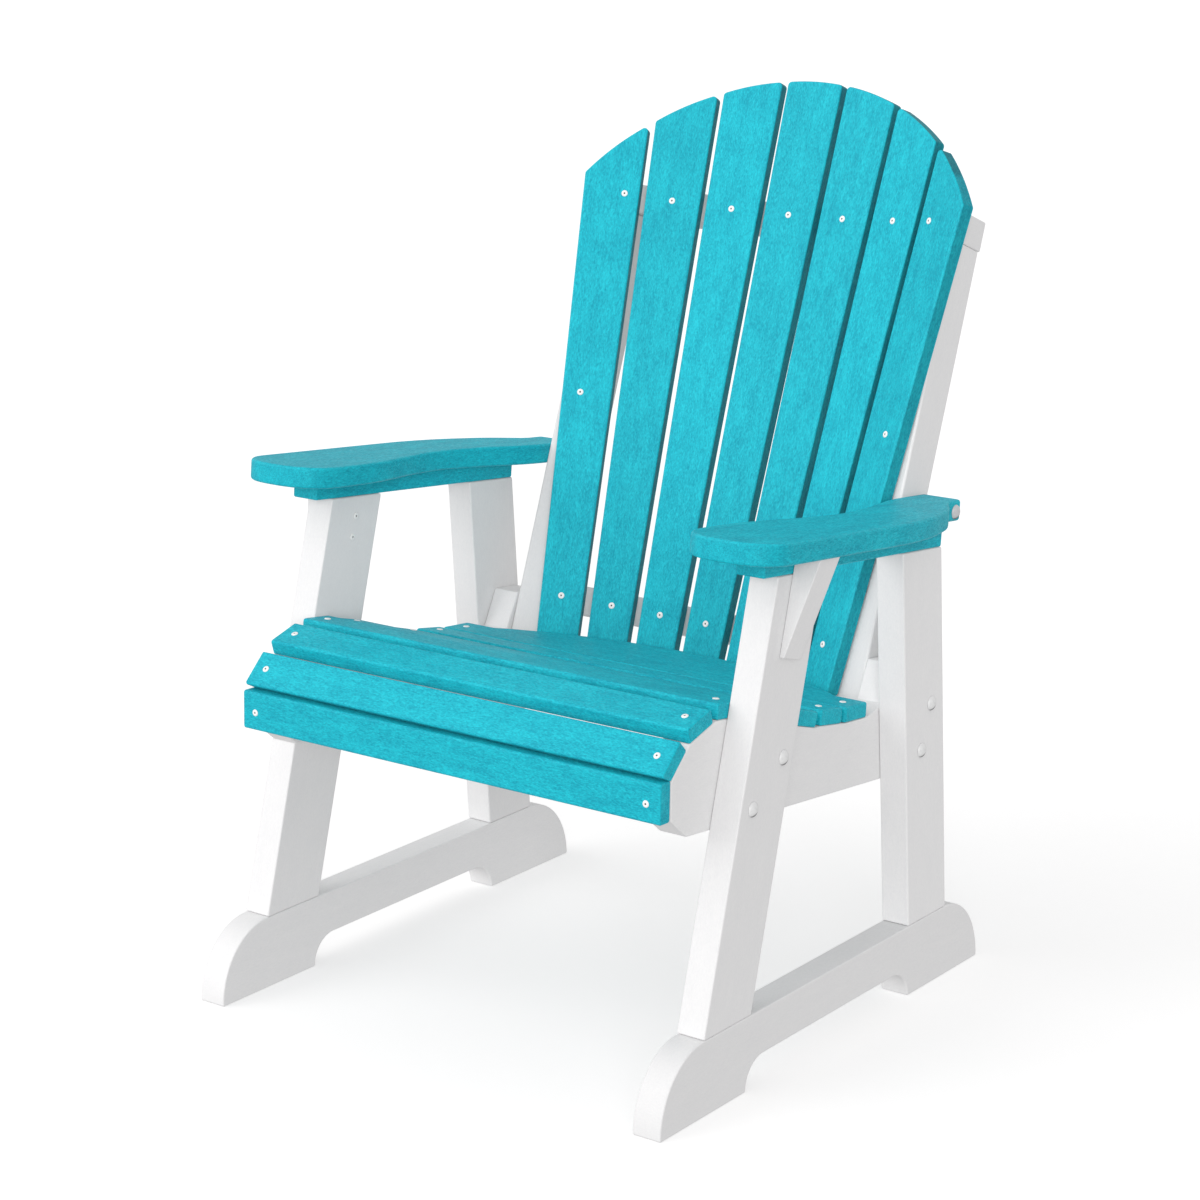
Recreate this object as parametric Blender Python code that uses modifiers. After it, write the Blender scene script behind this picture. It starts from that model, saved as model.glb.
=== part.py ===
"""Adirondack chair of recycled-plastic boards on two runners.

The frame is white and the boards that touch the sitter are turquoise. Each board is its own
object, and the chair is held together by carriage bolts and by screws from inside the legs.
Layout frame: x across (0 is the middle), y back from the tip of the runners, z up from the floor.
The empty CHAIR_FRAME moves the layout so that the chair stands centred on the world origin.
"""
from math import atan, copysign, cos, pi, radians, sin, sqrt, tan

import bmesh
import bpy
from mathutils import Matrix, Vector

# ---------------------------------------------------------------- driving dimensions (metres)
CLEAR = 0.0003              # gap between two pieces that touch
MIDDLE_Y = 0.4218           # layout y that becomes world y = 0
FRAME_THICK = 0.038         # legs, runners, rails: 1.5 in board
SLAT_THICK = 0.019          # seat and back slats: 0.75 in board
SLAT_ROUND, ARM_ROUND, FRAME_ROUND = 0.0028, 0.0036, 0.0020   # rounding along board edges
EDGE_STEPS = 2

RAIL_IN, RAIL_OUT = 0.2705, 0.3085      # x of a seat rail's faces
LEG_IN = RAIL_OUT + CLEAR               # legs stand outside the rails
LEG_OUT = LEG_IN + FRAME_THICK
UPRIGHT_OUT = RAIL_IN - CLEAR           # back uprights stand inside the rails
UPRIGHT_IN = UPRIGHT_OUT - 0.044

RUNNER_LENGTH, RUNNER_HEIGHT = 0.6985, 0.0915
RUNNER_NOSE = 0.083                     # length of the quarter-round ends
FOOT_FRONT_END, FOOT_REAR_START = 0.169, 0.528
ARCH_HEIGHT, ARCH_RADIUS = 0.0365, 0.036
ARCH_STEPS, NOSE_STEPS = 6, 9

LEG_FOOT = RUNNER_HEIGHT + CLEAR
FRONT_LEG = (0.0840, 0.1790, 0.2752)    # front y, rear y at the foot, and lean back per metre up
REAR_LEG = (0.5263, 0.6155, -0.0720)

FALL = radians(5.8)                     # arms and seat frame fall towards the back
LEG_TOP_Z, LEG_TOP_Y = 0.5970, 0.2275   # a point on the sloping line of the leg tops
SUPPORT_FRONT, SUPPORT_REAR = 0.1930, 0.5800
SUPPORT_HEIGHT, ARM_THICK = 0.0215, 0.0260

RAIL_FLOOR = (0.3292, -0.0998)          # z of the rail's lower edge at y = 0, and its slope
RAIL_CHIN = (0.1036, 0.0725)            # y where the rail's chamfered chin starts and ends
EAR_FRONT = ((0.5180, 0.3725), (0.5414, 0.4176))
EAR_FALL, RAIL_END_INSET = -0.10, 0.006

SEAT_WIDTH = 2 * RAIL_OUT
SLAT_DEPTH = 0.0475
# middle of each seat slat's upper face (y, z) and its tilt in degrees, front to back
SEAT_SLATS = (
    ("seat_apron", 0.0522, 0.3695, 88.0),
    ("seat_slat_1", 0.0722, 0.4171, 43.5),
    ("seat_slat_2", 0.1258, 0.4500, 15.8),
    ("seat_slat_3", 0.1863, 0.4555, -7.7),
    ("seat_slat_4", 0.2412, 0.4414, -15.0),
    ("seat_slat_5", 0.2946, 0.4226, -20.0),
    ("seat_slat_6", 0.3486, 0.4054, -17.0),
    ("seat_slat_7", 0.4020, 0.3943, -10.0),
)
MITRE_BACK = 0.0065                     # seat_slat_1's lower front edge is cut back by this
REAR_BOARD = (0.4320, 0.3885, -5.5)     # upper front edge (y, z) and tilt
REAR_BOARD_SIDE, REAR_BOARD_MIDDLE = 0.0500, 0.1250
REAR_BOARD_ARC, REAR_BOARD_TAB, REAR_BOARD_STEPS = 0.507, 0.2625, 16

RECLINE = radians(20.5)                 # back frame: u runs up the back, v to the rear of it
UPRIGHT_FRONT_V, UPRIGHT_REAR_V = 0.3616, 0.4250
UPRIGHT_FOOT_U = 0.440                  # lower end before it is trimmed along the rail's lower edge
BACK_LOW_U, BACK_HIGH_U = 0.5875, 1.1243    # middles of the two cross rails
FAN_STEP = radians(7.5)                 # angle between neighbouring back slats
FAN_LOW = (0.532, 0.4078, 0.0575)       # radius, v of the middle slat's face, slat width
FAN_HIGH = (0.650, 0.3990, 0.0760)
BACK_FOOT_U = 0.530
CROWN_U, CROWN_RADIUS, CROWN_STEPS = 0.9611, 0.3395, 8   # arc that trims the back slats' tops
CROSS_THICK = 0.038
CROSS_REAR_V, CROSS_BULGE, CROSS_STEPS = 0.4285, 0.042, 12

# plan of the right arm's upper face (x, y): waisted inner edge going back, outer edge going forward
ARM_INNER = ((0.2655, 0.208), (0.2690, 0.262), (0.2800, 0.316), (0.2915, 0.366), (0.2978, 0.412),
             (0.2975, 0.452), (0.2905, 0.500), (0.2810, 0.540), (0.2735, 0.575), (RAIL_IN, 0.605))
ARM_OUTER = ((0.3300, 0.624), (0.3385, 0.611), (0.3500, 0.592), (0.3592, 0.573), (0.3670, 0.550),
             (0.3760, 0.520), (0.3830, 0.486), (0.3877, 0.445), (0.3890, 0.400), (0.3890, 0.208))
ARM_FRONT_Y, ARM_FRONT_DEPTH, ARM_FRONT_POWER = 0.1366, 0.052, 2.4  # superellipse front end
ARM_FRONT_STEPS = 14
TAIL_OUT, TAIL_START, TAIL_END, TAIL_CORNER = 0.3260, 0.6360, 0.6650, 0.007

BRACKET_WIDTH, BRACKET_FOOT_Z = 0.037, 0.4990
BRACKET_TOP_REACH, BRACKET_FOOT_REACH, BRACKET_ROUND = 0.034, 0.006, 0.0012

# bolt axes run along x; the tuple is (y, z)
FRONT_BOLTS = ((0.1764, 0.3391), (0.2375, 0.3842))
REAR_BOLTS = ((0.5455, 0.3141), (0.5664, 0.3685))
ARM_BOLT = (0.6480, 0.5885)
BOLT_RADIUS, BOLT_HEAD_RADIUS, BOLT_HEAD_HEIGHT = 0.0040, 0.0090, 0.0042
NUT_RADIUS, NUT_HEIGHT, THREAD_END = 0.0073, 0.0066, 0.0030
SCREW_AXES = ((0.2579, 0.5427), (0.2654, 0.5681))
SCREW_RADIUS, SCREW_HEAD_RADIUS, SCREW_HEAD_HEIGHT, SCREW_LENGTH = 0.0022, 0.0045, 0.0018, 0.048
HOLE_EXTRA = 0.0004                     # a hole's radius over its bolt's radius
HOLE_PAST = 0.02                        # how far a through hole's cutter runs past the boards
BLIND_PAST = 0.006                      # depth of a screw's hole past the screw
TURN_STEPS = 16
TRIM_SIZE, TRIM_Y = 0.3, 0.5            # block that trims the uprights' feet, and y of its middle

TURQUOISE = ("turquoise_board", (0.030, 0.430, 0.520, 1.0), 0.52, 0.0)
WHITE = ("white_board", (0.830, 0.840, 0.845, 1.0), 0.50, 0.0)
COATED = ("white_coated_bolt", (0.780, 0.790, 0.800, 1.0), 0.35, 0.0)
ZINC = ("zinc_steel", (0.560, 0.570, 0.580, 1.0), 0.32, 1.0)


# ---------------------------------------------------------------- scene set-up
for old in list(bpy.data.objects):
    bpy.data.objects.remove(old, do_unlink=True)
scene_root = bpy.context.scene.collection
parts = bpy.data.collections.new("adirondack_chair")
cutters = bpy.data.collections.new("cutters")
scene_root.children.link(parts)
scene_root.children.link(cutters)
frame_empty = bpy.data.objects.new("CHAIR_FRAME", None)
frame_empty.location = (0.0, -MIDDLE_Y, 0.0)
parts.objects.link(frame_empty)


def material(spec):
    """The Principled material for one (name, colour, roughness, metallic) spec."""
    name, colour, roughness, metallic = spec
    mat = bpy.data.materials.get(name)
    if mat is None:
        mat = bpy.data.materials.new(name)
        mat.use_nodes = True
        shader = mat.node_tree.nodes["Principled BSDF"]
        shader.inputs["Base Color"].default_value = colour
        shader.inputs["Roughness"].default_value = roughness
        shader.inputs["Metallic"].default_value = metallic
        mat.diffuse_color = colour
    return mat


def place(name, mesh, matrix, spec, collection=parts):
    """One object from a mesh, placed in the layout frame."""
    obj = bpy.data.objects.new(name, mesh)
    collection.objects.link(obj)
    obj.parent = frame_empty
    obj.matrix_local = matrix
    if spec is not None and not mesh.materials:
        mesh.materials.append(material(spec))
    return obj


def round_edges(obj, width):
    """Rounded board edges; the flat facets of a curved outline stay unrounded."""
    bevel = obj.modifiers.new("rounded_edges", 'BEVEL')
    bevel.width = width
    bevel.segments = EDGE_STEPS
    bevel.limit_method = 'ANGLE'
    bevel.angle_limit = radians(35)
    bevel.use_clamp_overlap = True
    return obj


def outline_mesh(name, outline, thickness):
    """A flat closed outline, filled and extruded equally to both sides, as a clean mesh."""
    curve = bpy.data.curves.new(name, 'CURVE')
    curve.dimensions = '2D'
    curve.fill_mode = 'BOTH'
    curve.extrude = thickness / 2
    spline = curve.splines.new('POLY')
    spline.points.add(len(outline) - 1)
    for point, (a, b) in zip(spline.points, outline):
        point.co = (a, b, 0.0, 1.0)
    spline.use_cyclic_u = True
    guide = bpy.data.objects.new(name + "_outline", curve)
    scene_root.objects.link(guide)
    depsgraph = bpy.context.evaluated_depsgraph_get()
    mesh = bpy.data.meshes.new_from_object(guide.evaluated_get(depsgraph))
    mesh.name = name
    mesh.materials.clear()
    bpy.data.objects.remove(guide, do_unlink=True)
    bm = bmesh.new()
    bm.from_mesh(mesh)
    bmesh.ops.remove_doubles(bm, verts=bm.verts, dist=1e-5)
    bmesh.ops.dissolve_limit(bm, angle_limit=radians(0.5), verts=bm.verts, edges=bm.edges)
    bmesh.ops.recalc_face_normals(bm, faces=bm.faces)
    bm.to_mesh(mesh)
    bm.free()
    return mesh


def axes_matrix(x_axis, y_axis, z_axis, origin):
    """A placement from three axes and an origin."""
    matrix = Matrix((x_axis, y_axis, z_axis)).transposed().to_4x4()
    matrix.translation = origin
    return matrix


def side_matrix(x):
    """Local (a, b, n) becomes layout (y, z, x): for boards that stand fore and aft."""
    return axes_matrix((0, 1, 0), (0, 0, 1), (1, 0, 0), (x, 0, 0))


def side_board(name, outline, x_low, x_high, spec, rounding):
    mesh = outline_mesh(name, outline, x_high - x_low)
    return round_edges(place(name, mesh, side_matrix((x_low + x_high) / 2), spec), rounding)


def side_pair(name, outline, x_low, x_high, spec, rounding=FRAME_ROUND):
    """The same fore-and-aft board on both sides, sharing one mesh."""
    right = side_board(name + "_right", outline, x_low, x_high, spec, rounding)
    centre = -(x_low + x_high) / 2
    left = round_edges(place(name + "_left", right.data, side_matrix(centre), spec), rounding)
    return left, right


def meet(p, p_dir, q, q_dir):
    """Where two lines of the y-z plane cross."""
    det = p_dir[0] * q_dir[1] - p_dir[1] * q_dir[0]
    t = ((q[0] - p[0]) * q_dir[1] - (q[1] - p[1]) * q_dir[0]) / det
    return (p[0] + t * p_dir[0], p[1] + t * p_dir[1])


def arc(centre, radii, start, end, steps):
    """Points on an ellipse quarter or part of a circle, angles in degrees."""
    angles = [radians(start + (end - start) * i / steps) for i in range(steps + 1)]
    return [(centre[0] + radii[0] * cos(a), centre[1] + radii[1] * sin(a)) for a in angles]


# ---------------------------------------------------------------- runners and legs
def runner_outline():
    """Side view of a runner: quarter-round ends, two flat feet and a long arch between them."""
    top = RUNNER_HEIGHT
    points = [(0.0, 0.0), (FOOT_FRONT_END, 0.0)]
    points += arc((FOOT_FRONT_END + ARCH_RADIUS, 0.0), (ARCH_RADIUS, ARCH_HEIGHT), 180, 90, ARCH_STEPS)[1:]
    points += arc((FOOT_REAR_START - ARCH_RADIUS, 0.0), (ARCH_RADIUS, ARCH_HEIGHT), 90, 0, ARCH_STEPS)
    points += arc((RUNNER_LENGTH - RUNNER_NOSE, 0.0), (RUNNER_NOSE, top), 0, 90, NOSE_STEPS)
    points += arc((RUNNER_NOSE, 0.0), (RUNNER_NOSE, top), 90, 180, NOSE_STEPS)[:-1]
    return points


def leg_outline(leg):
    """Side view of a leg from the runner up to the sloping line under the arm support."""
    front, rear, lean = leg
    top = (LEG_TOP_Y, LEG_TOP_Z)
    fall = (cos(FALL), -sin(FALL))
    return [(front, LEG_FOOT), (rear, LEG_FOOT), meet((rear, LEG_FOOT), (lean, 1.0), top, fall),
            meet((front, LEG_FOOT), (lean, 1.0), top, fall)]


side_pair("runner", runner_outline(), LEG_IN, LEG_OUT, WHITE)
front_legs = side_pair("front_leg", leg_outline(FRONT_LEG), LEG_IN, LEG_OUT, WHITE)
rear_legs = side_pair("rear_leg", leg_outline(REAR_LEG), LEG_IN, LEG_OUT, WHITE)


# ---------------------------------------------------------------- seat
def slat_section(y, z, tilt, depth=SLAT_DEPTH, mitre=0.0):
    """Cross-section of a seat slat: upper front, upper rear, lower rear, lower front."""
    a = radians(tilt)
    along, down = (cos(a), sin(a)), (sin(a), -cos(a))
    half = depth / 2

    def corner(shift, drop):
        return (y + shift * along[0] + drop * down[0], z + shift * along[1] + drop * down[1])
    return [corner(-half, 0.0), corner(half, 0.0), corner(half, SLAT_THICK),
            corner(-half + mitre, SLAT_THICK)]


def below(section, amount=CLEAR):
    """The lower edge of a slat's section, moved down off the slat: front and rear point."""
    _, upper_rear, lower_rear, lower_front = section
    down = (Vector(lower_rear) - Vector(upper_rear)).normalized() * amount
    return [tuple(Vector(lower_front) + down), tuple(Vector(lower_rear) + down)]


sections = {}
for name, y, z, tilt in SEAT_SLATS:
    sections[name] = slat_section(y, z, tilt, mitre=MITRE_BACK if name == "seat_slat_1" else 0.0)
    side_board(name, sections[name], -RAIL_OUT, RAIL_OUT, TURQUOISE, SLAT_ROUND)

board_y, board_z, board_tilt = REAR_BOARD
board_angle = radians(board_tilt)
board_rest = slat_section(board_y + REAR_BOARD_SIDE / 2 * cos(board_angle),
                          board_z + REAR_BOARD_SIDE / 2 * sin(board_angle), board_tilt,
                          depth=REAR_BOARD_SIDE)


def rear_board_outline():
    """Plan of the rear seat board: tabs on the rails and an arc that follows the back."""
    def arc_depth(x):
        return REAR_BOARD_MIDDLE - (REAR_BOARD_ARC - sqrt(REAR_BOARD_ARC ** 2 - x * x))
    edge, steps = REAR_BOARD_TAB, REAR_BOARD_STEPS
    rear = [(edge - 2 * edge * i / steps, arc_depth(edge - 2 * edge * i / steps))
            for i in range(steps + 1)]
    return [(-RAIL_OUT, 0.0), (RAIL_OUT, 0.0), (RAIL_OUT, REAR_BOARD_SIDE),
            (edge, REAR_BOARD_SIDE)] + rear[1:-1] + [(-edge, REAR_BOARD_SIDE),
                                                     (-RAIL_OUT, REAR_BOARD_SIDE)]


board_along = Vector((0.0, cos(board_angle), sin(board_angle)))
board_up = Vector((0.0, -sin(board_angle), cos(board_angle)))
board_origin = Vector((0.0, board_y, board_z)) - board_up * (SLAT_THICK / 2)
round_edges(place("seat_rear_board", outline_mesh("seat_rear_board", rear_board_outline(), SLAT_THICK),
                  axes_matrix((1, 0, 0), board_along, board_up, board_origin), TURQUOISE),
            SLAT_ROUND)


def rail_floor(y):
    return RAIL_FLOOR[0] + RAIL_FLOOR[1] * y


def rail_outline():
    """Side view of a seat rail: chin, seat curve under the slats, and the ear at the rear."""
    chin, nose = RAIL_CHIN
    apron, first = below(sections["seat_apron"]), below(sections["seat_slat_1"])
    nose_foot = (nose, apron[0][1])
    nose_top = meet(nose_foot, (0.0, 1.0), first[0],
                    (first[1][0] - first[0][0], first[1][1] - first[0][1]))
    points = [(chin, rail_floor(chin))]
    front, rear, lean = REAR_LEG

    def rail_end(z):
        return rear + lean * (z - LEG_FOOT) - RAIL_END_INSET
    floor_end = meet((rail_end(0.0), 0.0), (lean, 1.0), (0.0, RAIL_FLOOR[0]), (1.0, RAIL_FLOOR[1]))
    ear_end = meet((rail_end(0.0), 0.0), (lean, 1.0), EAR_FRONT[1], (1.0, EAR_FALL))
    points += [floor_end, ear_end, EAR_FRONT[1], EAR_FRONT[0]]
    points += reversed(below(board_rest))
    for name, *_ in reversed(SEAT_SLATS[2:]):
        points += reversed(below(sections[name]))
    points += [first[1], nose_top, nose_foot]
    return points


seat_rails = side_pair("seat_rail", rail_outline(), RAIL_IN, RAIL_OUT, WHITE)

# ---------------------------------------------------------------- back frame and slats
U_DIR = Vector((0.0, sin(RECLINE), cos(RECLINE)))
V_DIR = Vector((0.0, cos(RECLINE), -sin(RECLINE)))
X_DIR = Vector((1.0, 0.0, 0.0))


def in_back(x, u, v):
    """A point of the reclined back frame in layout coordinates."""
    return X_DIR * x + U_DIR * u + V_DIR * v


def back_board(name, outline, u_low, u_high, spec):
    """A board lying across the back: outline in (x, v), thickness along u."""
    mesh = outline_mesh(name, outline, u_high - u_low)
    matrix = axes_matrix(X_DIR, V_DIR, U_DIR, in_back(0.0, (u_low + u_high) / 2, 0.0))
    return round_edges(place(name, mesh, matrix, spec), FRAME_ROUND)


def cross_rail_outline(fan, half_length, rear_v):
    """Plan of a cross rail: a flat seat for each slat in front, a bulged rear edge."""
    radius, face_v, _width = fan
    seat_radius = radius + SLAT_THICK + CLEAR
    corners = [(seat_radius / cos(FAN_STEP / 2) * sin((i + 0.5) * FAN_STEP),
                face_v - radius + seat_radius / cos(FAN_STEP / 2) * cos((i + 0.5) * FAN_STEP))
               for i in range(-3, 3)]
    edge_angle = 3 * FAN_STEP
    on_seat = (seat_radius * sin(edge_angle), face_v - radius + seat_radius * cos(edge_angle))
    end_v = on_seat[1] - (half_length - on_seat[0]) * tan(edge_angle)
    front = [(-half_length, end_v)] + corners + [(half_length, end_v)]
    rear = []
    for i in range(CROSS_STEPS + 1):
        x = half_length * (1 - 2 * i / CROSS_STEPS)
        rear.append((x, rear_v + CROSS_BULGE * cos(pi / 2 * x / half_length)))
    return front + rear


def upright_outline():
    """Section of the right upright in (x, v): its front face is bevelled to the end slat."""
    bevel_v = UPRIGHT_FRONT_V + (UPRIGHT_OUT - UPRIGHT_IN) * tan(3 * FAN_STEP)
    return [(UPRIGHT_IN, bevel_v), (UPRIGHT_OUT, UPRIGHT_FRONT_V),
            (UPRIGHT_OUT, UPRIGHT_REAR_V), (UPRIGHT_IN, UPRIGHT_REAR_V)]


def mirrored(outline):
    return [(-a, b) for a, b in reversed(outline)]


high_low = BACK_HIGH_U - CROSS_THICK / 2
high_top = BACK_HIGH_U + CROSS_THICK / 2
back_board("back_top_rail", cross_rail_outline(FAN_HIGH, RAIL_IN, CROSS_REAR_V),
           high_low, high_top, WHITE)
back_board("back_bottom_rail", cross_rail_outline(FAN_LOW, UPRIGHT_IN - CLEAR, CROSS_REAR_V),
           BACK_LOW_U - CROSS_THICK / 2, BACK_LOW_U + CROSS_THICK / 2, WHITE)

uprights = [
    back_board("back_upright_left", mirrored(upright_outline()), UPRIGHT_FOOT_U,
               high_low - CLEAR, WHITE),
    back_board("back_upright_right", upright_outline(), UPRIGHT_FOOT_U,
               high_low - CLEAR, WHITE),
]


def fan_point(i, fan, u):
    """Middle of slat i's front face at one cross rail."""
    radius, face_v, _width = fan
    angle = i * FAN_STEP
    return in_back(radius * sin(angle), u, face_v - radius * (1 - cos(angle)))


def back_slat(i):
    """A tapered back slat whose top follows the crown arc; i runs from -3 (left) to 3."""
    low, high = fan_point(i, FAN_LOW, BACK_LOW_U), fan_point(i, FAN_HIGH, BACK_HIGH_U)
    length = (high - low).length
    up = (high - low).normalized()
    across = X_DIR * cos(i * FAN_STEP) - V_DIR * sin(i * FAN_STEP)
    across = (across - up * across.dot(up)).normalized()
    face = across.cross(up)             # points forward, out of the slat's front face
    taper = (FAN_HIGH[2] - FAN_LOW[2]) / length / 2

    def half_width(along):
        return FAN_LOW[2] / 2 + taper * along

    def crown(w):
        """Distance up the slat at which the line w from its middle meets the crown arc."""
        start = low + across * w
        sx, su = start.x, start.dot(U_DIR) - CROWN_U
        dx, du = up.x, up.dot(U_DIR)
        a, b, c = dx * dx + du * du, sx * dx + su * du, sx * sx + su * su - CROWN_RADIUS ** 2
        return (-b + sqrt(b * b - a * c)) / a

    def top_corner(side):
        along = crown(0.0)
        for _ in range(6):
            along = crown(side * half_width(along))
        return along

    foot = (BACK_FOOT_U - BACK_LOW_U) / up.dot(U_DIR)
    right, left = half_width(top_corner(1)), -half_width(top_corner(-1))
    tops = [right + (left - right) * k / CROWN_STEPS for k in range(CROWN_STEPS + 1)]
    outline = [(-half_width(foot), foot), (half_width(foot), foot)]
    outline += [(w, crown(w)) for w in tops]
    name = "back_slat_%d" % (i + 4)
    matrix = axes_matrix(across, up, face, low - face * (SLAT_THICK / 2))
    return round_edges(place(name, outline_mesh(name, outline, SLAT_THICK), matrix, TURQUOISE),
                       SLAT_ROUND)


for index in range(-3, 4):
    back_slat(index)


# ---------------------------------------------------------------- arms
def arm_line(y, lift=0.0):
    """z at y on the leg-top line moved up by lift, measured square to that line."""
    return LEG_TOP_Z - (y - LEG_TOP_Y) * tan(FALL) + lift / cos(FALL)


def support_outline():
    """Side view of an arm support: a strip lying on the leg tops, cut square to its length."""
    low, high = CLEAR, CLEAR + SUPPORT_HEIGHT
    along, up = Vector((cos(FALL), -sin(FALL))), Vector((sin(FALL), cos(FALL)))
    front = Vector((SUPPORT_FRONT, arm_line(SUPPORT_FRONT)))
    rear = Vector((SUPPORT_REAR, arm_line(SUPPORT_REAR)))
    length = (rear - front).length
    corners = ((0.0, low), (length, low), (length, high), (0.0, high))
    return [tuple(front + along * a + up * b) for a, b in corners]


def arm_outline(side):
    """Plan of an arm in (x, y): broad round front, waisted inner edge, narrow tail."""
    inner_x, outer_x = ARM_INNER[0][0], ARM_OUTER[-1][0]
    middle, half = (inner_x + outer_x) / 2, (outer_x - inner_x) / 2
    points = []
    for step in range(ARM_FRONT_STEPS + 1):
        c, d = -cos(pi * step / ARM_FRONT_STEPS), sin(pi * step / ARM_FRONT_STEPS)
        points.append((middle + half * copysign(abs(c) ** (2 / ARM_FRONT_POWER), c),
                       ARM_FRONT_Y + ARM_FRONT_DEPTH * (1 - d ** (2 / ARM_FRONT_POWER))))
    points += list(reversed(ARM_OUTER))
    t = TAIL_CORNER
    points += [(TAIL_OUT, TAIL_START)]
    points += arc((TAIL_OUT - t, TAIL_END - t), (t, t), 0, 90, 3)
    points += [(RAIL_IN, TAIL_END)] + list(reversed(ARM_INNER))
    top_set_back = (SUPPORT_HEIGHT + 2 * CLEAR + ARM_THICK) * sin(FALL)
    points = [(x, (y - LEG_TOP_Y - top_set_back) / cos(FALL)) for x, y in points]
    return points if side > 0 else mirrored(points)


arm_along = Vector((0.0, cos(FALL), -sin(FALL)))
arm_up = Vector((0.0, sin(FALL), cos(FALL)))
arm_base = Vector((0.0, LEG_TOP_Y, LEG_TOP_Z))
arm_low = SUPPORT_HEIGHT + 2 * CLEAR
side_pair("arm_support", support_outline(), LEG_IN, LEG_OUT, TURQUOISE)
arms = []
for side, label in ((-1, "left"), (1, "right")):
    arm_mesh = outline_mesh("arm_" + label, arm_outline(side), ARM_THICK)
    origin = arm_base + arm_up * (arm_low + ARM_THICK / 2)
    arms.append(round_edges(place("arm_" + label, arm_mesh,
                                  axes_matrix(X_DIR, arm_along, arm_up, origin), TURQUOISE),
                            ARM_ROUND))


def bracket(side, label):
    """A wedge on the outer face of a front leg that carries the overhang of the arm."""
    front, rear, lean = FRONT_LEG
    leg_axis = Vector((lean, 1.0)).normalized()
    across = Vector((leg_axis.y, -leg_axis.x))
    middle = Vector(((front + rear) / 2 + lean * (BRACKET_FOOT_Z - LEG_FOOT), BRACKET_FOOT_Z))
    under_arm = (LEG_TOP_Y, arm_line(LEG_TOP_Y, arm_low - CLEAR))
    foot = [middle - across * (BRACKET_WIDTH / 2), middle + across * (BRACKET_WIDTH / 2)]
    top = [Vector(meet(p, leg_axis, under_arm, (cos(FALL), -sin(FALL)))) for p in foot]
    outline = [tuple(foot[0]), tuple(foot[1]), tuple(top[1]), tuple(top[0])]
    inner = LEG_OUT + CLEAR
    mesh = outline_mesh("arm_bracket_" + label, outline, BRACKET_TOP_REACH)
    height = (top[0] - foot[0]).length
    slope = (BRACKET_TOP_REACH - BRACKET_FOOT_REACH) / height
    for vertex in mesh.vertices:        # taper the outer face towards the foot
        if vertex.co.z * side > 0:
            rise = (Vector(vertex.co[:2]) - foot[0]).dot(leg_axis)
            vertex.co.z -= side * (height - rise) * slope
    matrix = side_matrix(side * (inner + BRACKET_TOP_REACH / 2))
    return round_edges(place("arm_bracket_" + label, mesh, matrix, WHITE), BRACKET_ROUND)


brackets = [bracket(-1, "left"), bracket(1, "right")]


# ---------------------------------------------------------------- fasteners and their holes
def turned(name, profile, matrix, spec, collection=parts):
    """A solid of revolution about local z from a profile of (radius, z), top to bottom."""
    mesh = bpy.data.meshes.new(name)
    mesh.from_pydata([(r, 0.0, z) for r, z in profile],
                     [(i, i + 1) for i in range(len(profile) - 1)], [])
    obj = place(name, mesh, matrix, spec, collection)
    screw = obj.modifiers.new("turn", 'SCREW')
    screw.axis = 'Z'
    screw.steps = screw.render_steps = TURN_STEPS
    screw.use_merge_vertices = True
    screw.merge_threshold = 0.00005
    screw.use_smooth_shade = True
    return obj


def cut(target, cutter):
    boolean = target.modifiers.new("hole", 'BOOLEAN')
    boolean.operation = 'DIFFERENCE'
    boolean.solver = 'EXACT'
    boolean.object = cutter


def across_matrix(side, x, y, z):
    """Local +z points out of the chair's side (side * +x) at the layout point (x, y, z)."""
    return axes_matrix((0, 0, -side), (0, 1, 0), (side, 0, 0), (side * x, y, z))


def hole(name, side, centre, x_from, x_to, radius, targets):
    """A cutter along x and its cut in every target."""
    ends = [(0.0, x_to), (radius, x_to), (radius, x_from), (0.0, x_from)]
    cutter = turned(name, ends, across_matrix(side, 0.0, *centre), None, cutters)
    cutter.display_type = 'WIRE'
    cutter.hide_render = True
    for target in targets:
        cut(target, cutter)


def carriage_bolt(name, side, centre, head_x, inner_x, targets):
    """Domed head on head_x, shank through the targets to a nut on inner_x."""
    y, z = centre
    length = head_x - inner_x + NUT_HEIGHT + THREAD_END
    dome = [(BOLT_HEAD_RADIUS * sin(a), BOLT_HEAD_HEIGHT * cos(a))
            for a in (radians(d) for d in (0, 26, 50, 72, 86))]
    rim = [(BOLT_HEAD_RADIUS, 0.0), (BOLT_RADIUS, 0.0), (BOLT_RADIUS, -length),
           (0.0, -length)]
    turned(name, dome + rim, across_matrix(side, head_x + CLEAR, y, z), COATED)
    hole(name + "_hole", side, centre, inner_x - HOLE_PAST, head_x + HOLE_PAST,
         BOLT_RADIUS + HOLE_EXTRA, targets)
    nut_name = name.replace("_bolt", "_nut")
    bore = BOLT_RADIUS + HOLE_EXTRA
    mesh = bpy.data.meshes.new(nut_name)
    bm = bmesh.new()
    bmesh.ops.create_cone(bm, cap_ends=True, segments=6, radius1=NUT_RADIUS, radius2=NUT_RADIUS,
                          depth=NUT_HEIGHT)
    bm.to_mesh(mesh)
    bm.free()
    nut_x = inner_x - CLEAR - NUT_HEIGHT / 2
    nut = place(nut_name, mesh, across_matrix(side, nut_x, y, z), ZINC)
    hole(nut_name + "_bore", side, centre, nut_x - NUT_HEIGHT, nut_x + NUT_HEIGHT, bore, [nut])


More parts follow.
